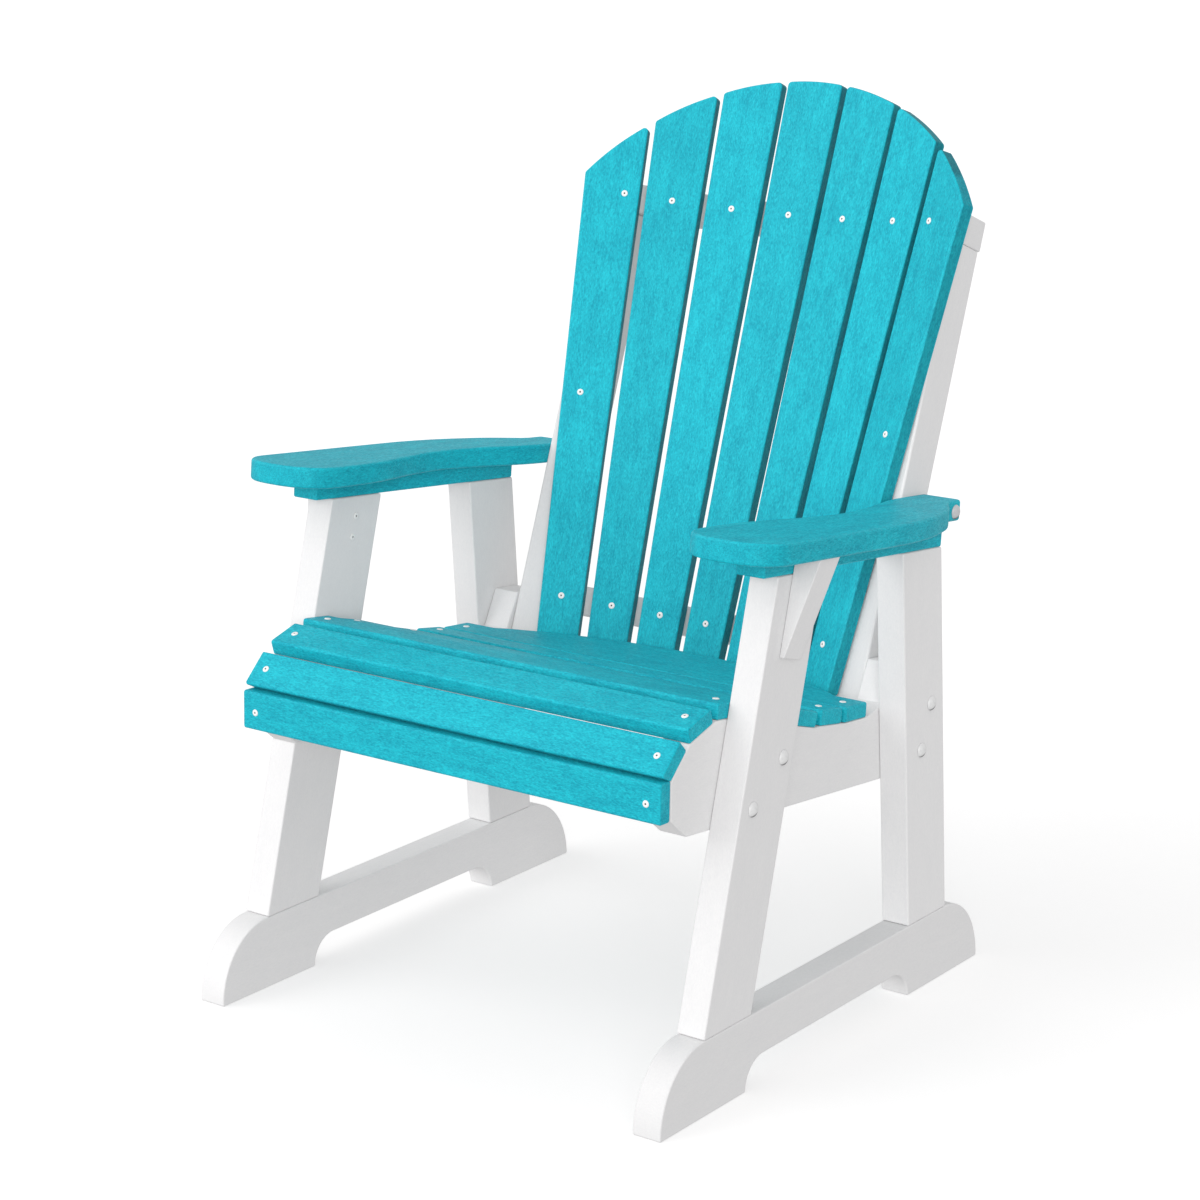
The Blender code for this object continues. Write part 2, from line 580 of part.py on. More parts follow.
def frame_screw(name, side, centre, targets):
    """A screw from the inner face of the leg out into the bracket."""
    y, z = centre
    head = [(0.0, SCREW_HEAD_HEIGHT), (SCREW_HEAD_RADIUS * 0.7, SCREW_HEAD_HEIGHT * 0.85),
            (SCREW_HEAD_RADIUS, 0.0), (SCREW_RADIUS, 0.0), (SCREW_RADIUS, -SCREW_LENGTH),
            (0.0, -SCREW_LENGTH - SCREW_RADIUS)]
    matrix = axes_matrix((0, 0, side), (0, 1, 0), (-side, 0, 0), (side * (LEG_IN - CLEAR), y, z))
    turned(name, head, matrix, COATED)
    hole(name + "_hole", side, centre, LEG_IN - HOLE_PAST, LEG_IN + SCREW_LENGTH + BLIND_PAST,
         SCREW_RADIUS + HOLE_EXTRA, targets)


for number, (side, label) in enumerate(((-1, "left"), (1, "right"))):
    rail, upright = seat_rails[number], uprights[number]
    for k, centre in enumerate(FRONT_BOLTS, 1):
        carriage_bolt("front_leg_bolt_%s_%d" % (label, k), side, centre, LEG_OUT, RAIL_IN,
                      [front_legs[number], rail])
    for k, centre in enumerate(REAR_BOLTS, 1):
        carriage_bolt("rear_leg_bolt_%s_%d" % (label, k), side, centre, LEG_OUT, UPRIGHT_IN,
                      [rear_legs[number], rail, upright])
    carriage_bolt("arm_bolt_" + label, side, ARM_BOLT, TAIL_OUT, UPRIGHT_IN,
                  [arms[number], upright])
    for k, centre in enumerate(SCREW_AXES, 1):
        frame_screw("bracket_screw_%s_%d" % (label, k), side, centre,
                    [front_legs[number], brackets[number]])
    # trim the upright's foot along the lower edge of the seat rail
    slope = atan(RAIL_FLOOR[1])
    trim = bpy.data.meshes.new("foot_trim_" + label)
    bm = bmesh.new()
    bmesh.ops.create_cube(bm, size=TRIM_SIZE)
    bm.to_mesh(trim)
    bm.free()
    along, up = Vector((0, cos(slope), sin(slope))), Vector((0, -sin(slope), cos(slope)))
    top_point = Vector((side * UPRIGHT_IN, TRIM_Y, rail_floor(TRIM_Y)))
    block = place("foot_trim_" + label, trim,
                  axes_matrix(X_DIR, along, up, top_point - up * (TRIM_SIZE / 2)), None, cutters)
    block.display_type = 'WIRE'
    block.hide_render = True
    cut(upright, block)
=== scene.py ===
"""Looks for the adirondack chair: finished boards, fasteners, plastic grain, floor and soft light.

Every board is rebuilt on the CAD's own dimensions with finer curves and rounder edges, and carries
its grain as a point attribute, so that the embossed pattern runs along each board.
Layout frame: x across, y back from the tip of the runners, z up; layout y = world y + MIDDLE_Y.
"""

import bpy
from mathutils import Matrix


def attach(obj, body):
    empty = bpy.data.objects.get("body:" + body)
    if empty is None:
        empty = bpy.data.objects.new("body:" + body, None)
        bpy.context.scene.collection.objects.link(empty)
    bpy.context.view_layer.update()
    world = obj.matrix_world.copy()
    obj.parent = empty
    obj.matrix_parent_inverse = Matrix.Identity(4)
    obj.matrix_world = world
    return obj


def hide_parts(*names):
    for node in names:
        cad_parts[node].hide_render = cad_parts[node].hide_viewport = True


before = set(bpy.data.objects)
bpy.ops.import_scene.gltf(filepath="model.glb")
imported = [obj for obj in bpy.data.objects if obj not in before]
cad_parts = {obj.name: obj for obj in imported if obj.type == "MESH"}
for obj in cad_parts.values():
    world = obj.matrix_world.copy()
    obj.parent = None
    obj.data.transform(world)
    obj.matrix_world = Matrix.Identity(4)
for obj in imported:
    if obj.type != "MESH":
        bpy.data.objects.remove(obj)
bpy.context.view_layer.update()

from math import copysign, cos, pi, radians, sin, sqrt, tan

import bmesh
import bpy
from mathutils import Matrix, Vector

# ---------------------------------------------------------------- sizes (metres), boards as in the CAD
MIDDLE_Y = 0.4218
CLEAR = 0.0003
FRAME_THICK, SLAT_THICK = 0.038, 0.019
SLAT_ROUND, ARM_ROUND, FRAME_ROUND, BRACKET_ROUND = 0.0028, 0.0036, 0.0020, 0.0012
ROUND_STEPS, FILLET_STEPS = 4, 6        # facets of the rim rounding and of the corner arcs
FILLET_OVER = 1.3                       # usual radius of the corner arcs, over that of the rims
SLAT_END_ROUND, SLAT_EDGE, TIGHT_EDGE = 0.0019, 0.0034, 0.0020   # seat boards' ends and long edges
SLAT_CORNER = 0.0050                    # radius of the back slats' corners
CORNER = radians(24)                    # an outline turning less than this stays as it is

RAIL_IN, RAIL_OUT = 0.2705, 0.3085
LEG_IN = RAIL_OUT + CLEAR
LEG_OUT = LEG_IN + FRAME_THICK
UPRIGHT_OUT = RAIL_IN - CLEAR
UPRIGHT_IN = UPRIGHT_OUT - 0.044

RUNNER_LENGTH, RUNNER_HEIGHT, RUNNER_NOSE = 0.6985, 0.0915, 0.083
FOOT_FRONT_END, FOOT_REAR_START = 0.169, 0.528
ARCH_HEIGHT, ARCH_RADIUS = 0.0365, 0.036
LEG_FOOT = RUNNER_HEIGHT + CLEAR
FRONT_LEG = (0.0840, 0.1790, 0.2752)
REAR_LEG = (0.5263, 0.6155, -0.0720)

FALL = radians(5.8)
LEG_TOP_Z, LEG_TOP_Y = 0.5970, 0.2275
SUPPORT_FRONT, SUPPORT_REAR = 0.1930, 0.5800
SUPPORT_HEIGHT, ARM_THICK = 0.0215, 0.0260
ARM_LOW = SUPPORT_HEIGHT + 2 * CLEAR

RAIL_FLOOR = (0.3292, -0.0998)
RAIL_CHIN = (0.1036, 0.0725)
EAR_FRONT = ((0.5180, 0.3725), (0.5414, 0.4176))
EAR_FALL, RAIL_END_INSET = -0.10, 0.006

SLAT_DEPTH = 0.0475
SEAT_SLATS = (
    ("seat_apron", 0.0522, 0.3695, 88.0),
    ("seat_slat_1", 0.0722, 0.4171, 43.5),
    ("seat_slat_2", 0.1258, 0.4500, 15.8),
    ("seat_slat_3", 0.1863, 0.4555, -7.7),
    ("seat_slat_4", 0.2412, 0.4414, -15.0),
    ("seat_slat_5", 0.2946, 0.4226, -20.0),
    ("seat_slat_6", 0.3486, 0.4054, -17.0),
    ("seat_slat_7", 0.4020, 0.3943, -10.0),
)
MITRE_BACK = 0.0065
REAR_BOARD = (0.4320, 0.3885, -5.5)
REAR_BOARD_SIDE, REAR_BOARD_MIDDLE = 0.0500, 0.1250
REAR_BOARD_ARC, REAR_BOARD_TAB = 0.507, 0.2625

RECLINE = radians(20.5)
UPRIGHT_FRONT_V, UPRIGHT_REAR_V, UPRIGHT_FOOT_U = 0.3616, 0.4250, 0.440
BACK_LOW_U, BACK_HIGH_U = 0.5875, 1.1243
FAN_STEP = radians(7.5)
FAN_LOW = (0.532, 0.4078, 0.0575)
FAN_HIGH = (0.650, 0.3990, 0.0760)
BACK_FOOT_U = 0.530
CROWN_U, CROWN_RADIUS = 0.9611, 0.3395
CROSS_THICK, CROSS_REAR_V, CROSS_BULGE = 0.038, 0.4285, 0.042

ARM_INNER = ((0.2655, 0.208), (0.2690, 0.262), (0.2800, 0.316), (0.2915, 0.366), (0.2978, 0.412),
             (0.2975, 0.452), (0.2905, 0.500), (0.2810, 0.540), (0.2735, 0.575), (RAIL_IN, 0.605))
ARM_OUTER = ((0.3300, 0.624), (0.3385, 0.611), (0.3500, 0.592), (0.3592, 0.573), (0.3670, 0.550),
             (0.3760, 0.520), (0.3830, 0.486), (0.3877, 0.445), (0.3890, 0.400), (0.3890, 0.208))
ARM_FRONT_Y, ARM_FRONT_DEPTH, ARM_FRONT_POWER = 0.1366, 0.052, 2.4
TAIL_OUT, TAIL_START, TAIL_END, TAIL_CORNER = 0.3260, 0.636, 0.6650, 0.007

BRACKET_WIDTH, BRACKET_FOOT_Z = 0.037, 0.4990
BRACKET_TOP_REACH, BRACKET_FOOT_REACH = 0.034, 0.006

FRONT_BOLTS = ((0.1764, 0.3391), (0.2375, 0.3842))
REAR_BOLTS = ((0.5455, 0.3141), (0.5664, 0.3685))
ARM_BOLT = (0.6480, 0.5885)
BOLT_RADIUS, BOLT_HEAD_RADIUS, BOLT_HEAD_HEIGHT = 0.0040, 0.0090, 0.0042
THREAD_TURNS, THREAD_DEPTH, THREAD_END = 7, 0.14, 0.0030   # the depth is a share of the radius
NUT_RADIUS, NUT_HEIGHT = 0.0073, 0.0066
NUT_CHAMFER, BORE_CHAMFER = 0.0009, (0.0006, 0.0004)       # the bore's, across and along
SCREW_LOBES, LOBE_DEPTH = 6, 0.16
BRACKET_SCREWS = ((0.2579, 0.5427), (0.2654, 0.5681))
SEAT_SCREW_X = 0.289
SEAT_SCREW_SHIFT = {"seat_apron": -0.0016, "seat_slat_1": 0.0010}
# screws off the middle line of back slats 1 to 7, at the two cross rails
TOP_SCREW_SHIFT = (0.0186, 0.0, 0.0, 0.0, 0.0, 0.0, -0.0186)
BOTTOM_SCREW_SHIFT = (-0.0005, 0.0, 0.0, -0.0006, -0.0036, -0.0044, -0.0044)
OUTER_TOP_DROP, OUTER_MIDDLE_INSET = 0.0017, 0.0083
REAR_BOARD_SCREW = 0.0244

# radiance of the world above and below, and the softboxes: azimuth, height, spread, strength
SKY_LIGHT, FLOOR_LIGHT, HORIZON_BLUR = 0.70, 0.54, 0.25
SOFTBOXES = (("right_softbox", 38, 13, 26, 0.93), ("front_softbox", -20, 15, 50, 0.50),
             ("left_softbox", -45, 35, 50, 0.68))
COVE_TINT, COVE_GLOW = (0.770, 0.765, 0.765), 0.375
COVE_FLAT, COVE_RISE, COVE_SIDES = 24.0, 14.0, 64
# the camera: its place in the layout frame, its direction in degrees, lens and sensor in millimetres
CAMERA_PLACE = (2.1089, -2.4920, 1.4243)
CAMERA_AZIMUTH, CAMERA_HEIGHT, CAMERA_ROLL = 36.49, 14.79, -0.07
CAMERA_LENS, CAMERA_SENSOR = 90.4, 36.0

# ---------------------------------------------------------------- looks
PATTERN_SHARES = (2.0, 1.5, 0.7, 0.8)   # fibre, flecks, streaks and clouds in the boards' colour
TONE_SPREAD = 0.03                      # brightness difference between boards
OPEN_WALL, GAP_WALL_SHADE = 0.72, 0.46        # the back slats' walls are darker than their faces; the darker walls in the gaps between slats are painted shade
WALL_SHARE = 0.9                        # walls start this far down the rounding of the rims
BOUNCE_SHARE = 0.85                     # how far the light that a board passes on is evened out
SHADE_START, SHADE_BAND = 0.46, 0.22      # painted shade on the bolt heads, towards their lower rear, as shares of their radius
SHADE_DOWN, SHADE_REAR = 0.95, 0.31       # its direction
SLOPING_GRAIN = (1, -0.1, 0)

X_DIR = Vector((1.0, 0.0, 0.0))
U_DIR = Vector((0.0, sin(RECLINE), cos(RECLINE)))
V_DIR = Vector((0.0, cos(RECLINE), -sin(RECLINE)))
FALL_ALONG = Vector((0.0, cos(FALL), -sin(FALL)))
FALL_UP = Vector((0.0, sin(FALL), cos(FALL)))

pieces = bpy.data.collections.new("chair_pieces")
bpy.context.scene.collection.children.link(pieces)


# ---------------------------------------------------------------- node materials
def node_tree(name):
    mat = bpy.data.materials.new(name)
    mat.use_nodes = True
    tree = mat.node_tree
    shader = tree.nodes["Principled BSDF"]
    return mat, tree, shader


def math_node(tree, operation, a, b):
    node = tree.nodes.new("ShaderNodeMath")
    node.operation = operation
    for socket, value in zip(node.inputs, (a, b)):
        if isinstance(value, (int, float)):
            socket.default_value = value
        else:
            tree.links.new(value, socket)
    return node.outputs[0]


def stretched(tree, coordinates, scale, shift=(0.0, 0.0, 0.0)):
    """Grain coordinates scaled per metre along, across and through the board."""
    node = tree.nodes.new("ShaderNodeMapping")
    node.inputs["Scale"].default_value = scale
    node.inputs["Location"].default_value = shift
    tree.links.new(coordinates, node.inputs["Vector"])
    return node.outputs["Vector"]


def noise(tree, coordinates, scale, detail=4.0, roughness=0.55, distortion=0.0, shift=(0, 0, 0)):
    node = tree.nodes.new("ShaderNodeTexNoise")
    node.inputs["Scale"].default_value = 1.0
    node.inputs["Detail"].default_value = detail
    node.inputs["Roughness"].default_value = roughness
    node.inputs["Distortion"].default_value = distortion
    tree.links.new(stretched(tree, coordinates, scale, shift), node.inputs["Vector"])
    return node.outputs["Fac"]


def spread(tree, value, low, high, to_low=0.0, to_high=1.0):
    """Maps low..high to to_low..to_high, clamped."""
    node = tree.nodes.new("ShaderNodeMapRange")
    node.interpolation_type = 'SMOOTHSTEP'
    for key, number in (("From Min", low), ("From Max", high), ("To Min", to_low),
                        ("To Max", to_high)):
        node.inputs[key].default_value = number
    tree.links.new(value, node.inputs["Value"])
    return node.outputs["Result"]


def mixed(tree, factor, a, b):
    """Colour mix; a and b are sockets or colours, and the factor is clamped to 0..1."""
    node = tree.nodes.new("ShaderNodeMix")
    node.data_type = 'RGBA'
    node.clamp_factor = True
    for socket, value in ((node.inputs[0], factor), (node.inputs[6], a), (node.inputs[7], b)):
        if hasattr(value, "is_output"):
            tree.links.new(value, socket)
        else:
            socket.default_value = value
    return node.outputs[2]


def attribute(tree, name):
    node = tree.nodes.new("ShaderNodeAttribute")
    node.attribute_name = name
    return node


def emboss(tree, shader, height, strength, distance):
    bump = tree.nodes.new("ShaderNodeBump")
    bump.inputs["Strength"].default_value = strength
    bump.inputs["Distance"].default_value = distance
    tree.links.new(height, bump.inputs["Height"])
    tree.links.new(bump.outputs["Normal"], shader.inputs["Normal"])


def board_material(name, pale, deep, contrast, relief, roughness, specular, bounce):
    """Recycled-plastic board: mottled colour and a fibrous pattern embossed along the grain.

    bounce is most of the colour that its neighbours receive from it, which keeps whites neutral."""
    mat, tree, shader = node_tree(name)
    grain = attribute(tree, "grain").outputs["Vector"]
    edge = attribute(tree, "edge").outputs["Fac"]
    tone = attribute(tree, "tone").outputs["Fac"]

    # patterns with their repeats per metre (along, across, through) and their part in the colour
    fibre = noise(tree, grain, (290.0, 760.0, 760.0), detail=2.0, roughness=0.6, distortion=0.5)
    flecks = noise(tree, grain, (150.0, 480.0, 480.0), detail=2.0, roughness=0.5, distortion=0.9,
                   shift=(3.1, 7.7, 1.3))
    streaks = noise(tree, grain, (16.0, 95.0, 95.0), detail=2.0, roughness=0.6, distortion=0.3,
                    shift=(9.4, 2.2, 5.0))
    clouds = noise(tree, grain, (26.0, 44.0, 44.0), detail=3.0, roughness=0.6, shift=(1.7, 4.1, 8.8))
    blend = 0.5 - 0.5 * contrast * sum(PATTERN_SHARES)
    for pattern, share in zip((fibre, flecks, streaks, clouds), PATTERN_SHARES):
        part = math_node(tree, 'MULTIPLY', pattern, contrast * share)
        blend = math_node(tree, 'ADD', part, blend)
    colour = mixed(tree, blend, deep, pale)
    # tone: each board's own brightness, plus painted shade on the back slats' walls in the gaps
    board_tone = tree.nodes.new("ShaderNodeHueSaturation")
    tree.links.new(colour, board_tone.inputs["Color"])
    tree.links.new(tone, board_tone.inputs["Value"])
    # edges are a little paler: partly rubbed wear, partly a painted highlight along the rounded rims
    rubbed_and_highlight = math_node(tree, 'MULTIPLY', edge, spread(tree, streaks, 0.30, 0.70, 0.08, 0.30))
    colour = mixed(tree, rubbed_and_highlight, board_tone.outputs["Color"], pale)
    # this acts only on light that other surfaces receive from the board
    bounced = tree.nodes.new("ShaderNodeLightPath").outputs["Is Diffuse Ray"]
    colour = mixed(tree, math_node(tree, 'MULTIPLY', bounced, BOUNCE_SHARE), colour, bounce)
    tree.links.new(colour, shader.inputs["Base Color"])

    rough = spread(tree, flecks, 0.30, 0.75, roughness + 0.09, roughness - 0.07)
    rough = math_node(tree, 'SUBTRACT', rough, math_node(tree, 'MULTIPLY', edge, 0.08))
    tree.links.new(rough, shader.inputs["Roughness"])
    shader.inputs["Specular IOR Level"].default_value = specular

    height = math_node(tree, 'ADD', math_node(tree, 'MULTIPLY', fibre, 0.45),
                       math_node(tree, 'MULTIPLY', spread(tree, flecks, 0.36, 0.66), 0.40))
    height = math_node(tree, 'ADD', height, math_node(tree, 'MULTIPLY', streaks, 0.8))
    emboss(tree, shader, height, strength=1.0, distance=relief)
    return mat


def coated_material(name, colour, dull):
    """Painted steel: faint orange peel, small changes of tone, and painted shade in the drive recess
    and on the lower rear of bolt heads.
    """
    mat, tree, shader = node_tree(name)
    place_on = tree.nodes.new("ShaderNodeTexCoord").outputs["Object"]
    recess = attribute(tree, "recess").outputs["Fac"]
    peel = noise(tree, place_on, (900.0, 900.0, 900.0), detail=2.0)
    grime = noise(tree, place_on, (260.0, 260.0, 260.0), detail=3.0, shift=(2.0, 5.0, 1.0))
    tinted = mixed(tree, spread(tree, grime, 0.35, 0.75, 0.0, 0.35), colour, dull)
    # painted shade colour, near black, for drive recesses and the lower rear of bolt heads
    shade_colour = tuple(0.12 * c for c in dull[:3]) + (1.0,)
    tree.links.new(mixed(tree, recess, tinted, shade_colour), shader.inputs["Base Color"])
    tree.links.new(spread(tree, peel, 0.3, 0.7, 0.30, 0.44), shader.inputs["Roughness"])
    emboss(tree, shader, peel, strength=0.6, distance=0.00006)
    return mat


def zinc_material(name):
    """Zinc-plated steel: bright, spangled and slightly scratched."""
    mat, tree, shader = node_tree(name)
    place_on = tree.nodes.new("ShaderNodeTexCoord").outputs["Object"]
    spangle = noise(tree, place_on, (500.0, 500.0, 500.0), detail=2.0, roughness=0.7)
    scratch = noise(tree, place_on, (150.0, 150.0, 2600.0), detail=2.0, shift=(4.0, 1.0, 3.0))
    colour = mixed(tree, spread(tree, spangle, 0.3, 0.7), (0.42, 0.43, 0.45, 1.0),
                   (0.66, 0.67, 0.68, 1.0))
    tree.links.new(colour, shader.inputs["Base Color"])
    shader.inputs["Metallic"].default_value = 1.0
    tree.links.new(spread(tree, scratch, 0.3, 0.7, 0.26, 0.46), shader.inputs["Roughness"])
    emboss(tree, shader, scratch, strength=0.5, distance=0.00005)
    return mat


TURQUOISE = ("turquoise_board", board_material(
    "turquoise_plastic", pale=(0.0110, 0.580, 0.690, 1.0), deep=(0.0010, 0.330, 0.445, 1.0),
    contrast=1.0, relief=0.00046, roughness=0.50, specular=0.22, bounce=(0.52, 0.55, 0.56, 1.0)))
WHITE = ("white_board", board_material(
    "white_plastic", pale=(0.858, 0.850, 0.850, 1.0), deep=(0.790, 0.787, 0.795, 1.0),
    contrast=0.55, relief=0.00012, roughness=0.50, specular=0.40, bounce=(0.84, 0.84, 0.84, 1.0)))
COATED = ("white_coated_bolt", coated_material(
    "white_coating", (0.93, 0.93, 0.92, 1.0), (0.80, 0.80, 0.80, 1.0)))
PAINTED = ("white_coated_bolt", coated_material(
    "worn_coating", (0.84, 0.84, 0.84, 1.0), (0.62, 0.62, 0.63, 1.0)))
BARE = ("white_coated_bolt", coated_material(
    "grey_coating", (0.62, 0.63, 0.65, 1.0), (0.46, 0.47, 0.49, 1.0)))
ZINC = ("zinc_steel", zinc_material("zinc_plate"))


# ---------------------------------------------------------------- board building
def axes_matrix(x_axis, y_axis, z_axis, origin):
    """A placement in the layout frame from three axes and an origin, moved to the world."""
    matrix = Matrix((x_axis, y_axis, z_axis)).transposed().to_4x4()
    matrix.translation = Vector(origin) - Vector((0.0, MIDDLE_Y, 0.0))
    return matrix


def finish_piece(name, mesh, matrix, finish, nodes):
    slot_name, mat = finish
    mesh.materials.clear()
    mesh.materials.append(mat)
    mesh.shade_smooth()
    obj = bpy.data.objects.new(name, mesh)
    obj.matrix_world = matrix
    pieces.objects.link(obj)
    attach(obj, "root")
    if nodes:
        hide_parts(*nodes)
    return obj


def filleted(outline, radius):
    """The outline with an arc in place of every corner that turns by more than CORNER.

    The radius is one for all corners or a tuple with one for each."""
    points = [Vector(p) for p in outline]
    count = len(points)
    radii = radius if isinstance(radius, tuple) else (radius,) * count
    sides = [points[(k + 1) % count] - points[k] for k in range(count)]
    turns = [sides[k - 1].angle_signed(sides[k]) for k in range(count)]
    rounded = []
    for k, (here, turn) in enumerate(zip(points, turns)):
        if abs(turn) < CORNER:
            rounded.append(here)
            continue
        # an arc may use nearly all of a side, or half of it where the other end is a corner too
        room = [side.length * (0.48 if abs(other) >= CORNER else 0.95)
                for side, other in ((sides[k - 1], turns[k - 1]), (sides[k], turns[(k + 1) % count]))]
        reach = min([radii[k] * tan(abs(turn) / 2)] + room)
        start = here - sides[k - 1].normalized() * reach
        inward = Vector((sides[k - 1].y, -sides[k - 1].x)).normalized()
        inward *= copysign(reach / tan(abs(turn) / 2), turn)
        for step in range(FILLET_STEPS + 1):
            rounded.append(start + inward - Matrix.Rotation(-turn * step / FILLET_STEPS, 2) @ inward)
    return rounded


board_count = 0


def board(node, outline, thickness, matrix, finish, rounding, grain, taper=None, fillet=None,
          wall_tones=(1.0, 1.0)):
    """A rounded board from its outline; grain is the local direction that its fibres follow.

    wall_tones scale the tone of the walls that stand on the outline, left and right of its middle; the
    darker walls in the gaps between back slats are painted shade."""
    global board_count
    board_count += 1
    bm = bmesh.new()
    half = thickness / 2
    corners = filleted(outline, fillet or rounding * FILLET_OVER)
    floor = bm.faces.new([bm.verts.new((a, b, -half)) for a, b in corners])
    raised = bmesh.ops.extrude_face_region(bm, geom=[floor])["geom"]
    for vert in (v for v in raised if isinstance(v, bmesh.types.BMVert)):
        vert.co.z = half
    bmesh.ops.recalc_face_normals(bm, faces=bm.faces)
    ends = [f for f in bm.faces if abs(f.normal.z) > 0.999]
    if taper:
        for vert in bm.verts:
            taper(vert)
    rims = list({e for f in ends for e in f.edges})
    rounded = bmesh.ops.bevel(bm, geom=rims, offset=rounding, offset_type='OFFSET',
                              segments=ROUND_STEPS, profile=0.5, affect='EDGES', clamp_overlap=False)
    strips = set(rounded["faces"])
    edge_layer = bm.verts.layers.float.new("edge")
    for vert in bm.verts:
        vert[edge_layer] = 1.0 if all(f in strips for f in vert.link_faces) else 0.0
    # grain coordinates: along, across and through, shifted so that no two boards match
    along = Vector(grain).normalized()
    through = Vector((0, 0, 1)) if abs(along.z) < 0.9 else Vector((1, 0, 0))
    across = through.cross(along).normalized()
    grain_layer = bm.verts.layers.float_vector.new("grain")
    tone_and_shade_layer = bm.verts.layers.float.new("tone")
    shift = Vector((1.7 * board_count, 0.61 * board_count, 0.37 * board_count))
    tone = 1.0 + TONE_SPREAD * sin(2.4 * board_count)
    for vert in bm.verts:
        co = vert.co
        vert[grain_layer] = Vector((co.dot(along), co.dot(across), co.dot(through))) + shift
        vert[tone_and_shade_layer] = tone
        # walls are darkened here: painted shade on the back slats' walls in the gaps
        if abs(co.z) < half - WALL_SHARE * rounding:
            vert[tone_and_shade_layer] *= wall_tones[co.x > 0]
    mesh = bpy.data.meshes.new(node + "_board")
    bm.to_mesh(mesh)
    bm.free()
    mesh.transform(matrix)
    obj = finish_piece(node + "_board", mesh, Matrix(), finish, [node])
    weighted = obj.modifiers.new("weighted_normals", 'WEIGHTED_NORMAL')
    weighted.mode = 'FACE_AREA'
    weighted.keep_sharp = True
    return obj


def side_matrix(x):
    """Local (a, b, n) becomes layout (y, z, x): for boards that stand fore and aft."""
    return axes_matrix((0, 1, 0), (0, 0, 1), (1, 0, 0), (x, 0, 0))


def side_pair(name, outline, x_low, x_high, finish, rounding, grain):
    for side, label in ((-1, "left"), (1, "right")):
        board("%s_%s" % (name, label), outline, x_high - x_low,
              side_matrix(side * (x_low + x_high) / 2), finish, rounding, grain)


def meet(p, p_dir, q, q_dir):
    """Where two lines of a plane cross."""
    det = p_dir[0] * q_dir[1] - p_dir[1] * q_dir[0]
    t = ((q[0] - p[0]) * q_dir[1] - (q[1] - p[1]) * q_dir[0]) / det
    return (p[0] + t * p_dir[0], p[1] + t * p_dir[1])


def arc(centre, radii, start, end, steps):
    angles = [radians(start + (end - start) * i / steps) for i in range(steps + 1)]
    return [(centre[0] + radii[0] * cos(a), centre[1] + radii[1] * sin(a)) for a in angles]


def flowing(points, per_span=4):
    """A smooth curve (Catmull-Rom) through an open run of points."""
    ends = [points[0]] + list(points) + [points[-1]]
    curve = []
    for p0, p1, p2, p3 in zip(ends, ends[1:], ends[2:], ends[3:]):
        for k in range(per_span):
            t = k / per_span
            curve.append(tuple(
                0.5 * (2 * b + (c - a) * t + (2 * a - 5 * b + 4 * c - d) * t * t
                       + (3 * b - a - 3 * c + d) * t ** 3)
                for a, b, c, d in zip(p0, p1, p2, p3)))
    return curve + [tuple(points[-1])]


def mirrored(outline):
    return [(-a, b) for a, b in reversed(outline)]


# ---------------------------------------------------------------- runners and legs
def runner_outline():
    top = RUNNER_HEIGHT
    points = [(0.0, 0.0), (FOOT_FRONT_END, 0.0)]
    points += arc((FOOT_FRONT_END + ARCH_RADIUS, 0.0), (ARCH_RADIUS, ARCH_HEIGHT), 180, 90, 14)[1:]
    points += arc((FOOT_REAR_START - ARCH_RADIUS, 0.0), (ARCH_RADIUS, ARCH_HEIGHT), 90, 0, 14)
    points += arc((RUNNER_LENGTH - RUNNER_NOSE, 0.0), (RUNNER_NOSE, top), 0, 90, 24)
    points += arc((RUNNER_NOSE, 0.0), (RUNNER_NOSE, top), 90, 180, 24)[:-1]
    return points


def leg_outline(leg):
    front, rear, lean = leg
    top, fall = (LEG_TOP_Y, LEG_TOP_Z), (cos(FALL), -sin(FALL))
    return [(front, LEG_FOOT), (rear, LEG_FOOT), meet((rear, LEG_FOOT), (lean, 1.0), top, fall),
            meet((front, LEG_FOOT), (lean, 1.0), top, fall)]


side_pair("runner", runner_outline(), LEG_IN, LEG_OUT, WHITE, FRAME_ROUND, (1, 0, 0))
side_pair("front_leg", leg_outline(FRONT_LEG), LEG_IN, LEG_OUT, WHITE, FRAME_ROUND,
          (FRONT_LEG[2], 1, 0))
side_pair("rear_leg", leg_outline(REAR_LEG), LEG_IN, LEG_OUT, WHITE, FRAME_ROUND,
          (REAR_LEG[2], 1, 0))


# ---------------------------------------------------------------- seat
def slat_section(y, z, tilt, depth=SLAT_DEPTH, mitre=0.0):
    a = radians(tilt)
    along, down = (cos(a), sin(a)), (sin(a), -cos(a))

    def corner(shift, drop):
        return (y + shift * along[0] + drop * down[0], z + shift * along[1] + drop * down[1])
    half = depth / 2
    return [corner(-half, 0.0), corner(half, 0.0), corner(half, SLAT_THICK),
            corner(-half + mitre, SLAT_THICK)]


def below(section):
    """The lower edge of a board's section, a clearance further down."""
    upper_rear, lower_rear, lower_front = section[1:]
    down = (Vector(lower_rear) - Vector(upper_rear)).normalized() * CLEAR
    return [tuple(Vector(lower_front) + down), tuple(Vector(lower_rear) + down)]


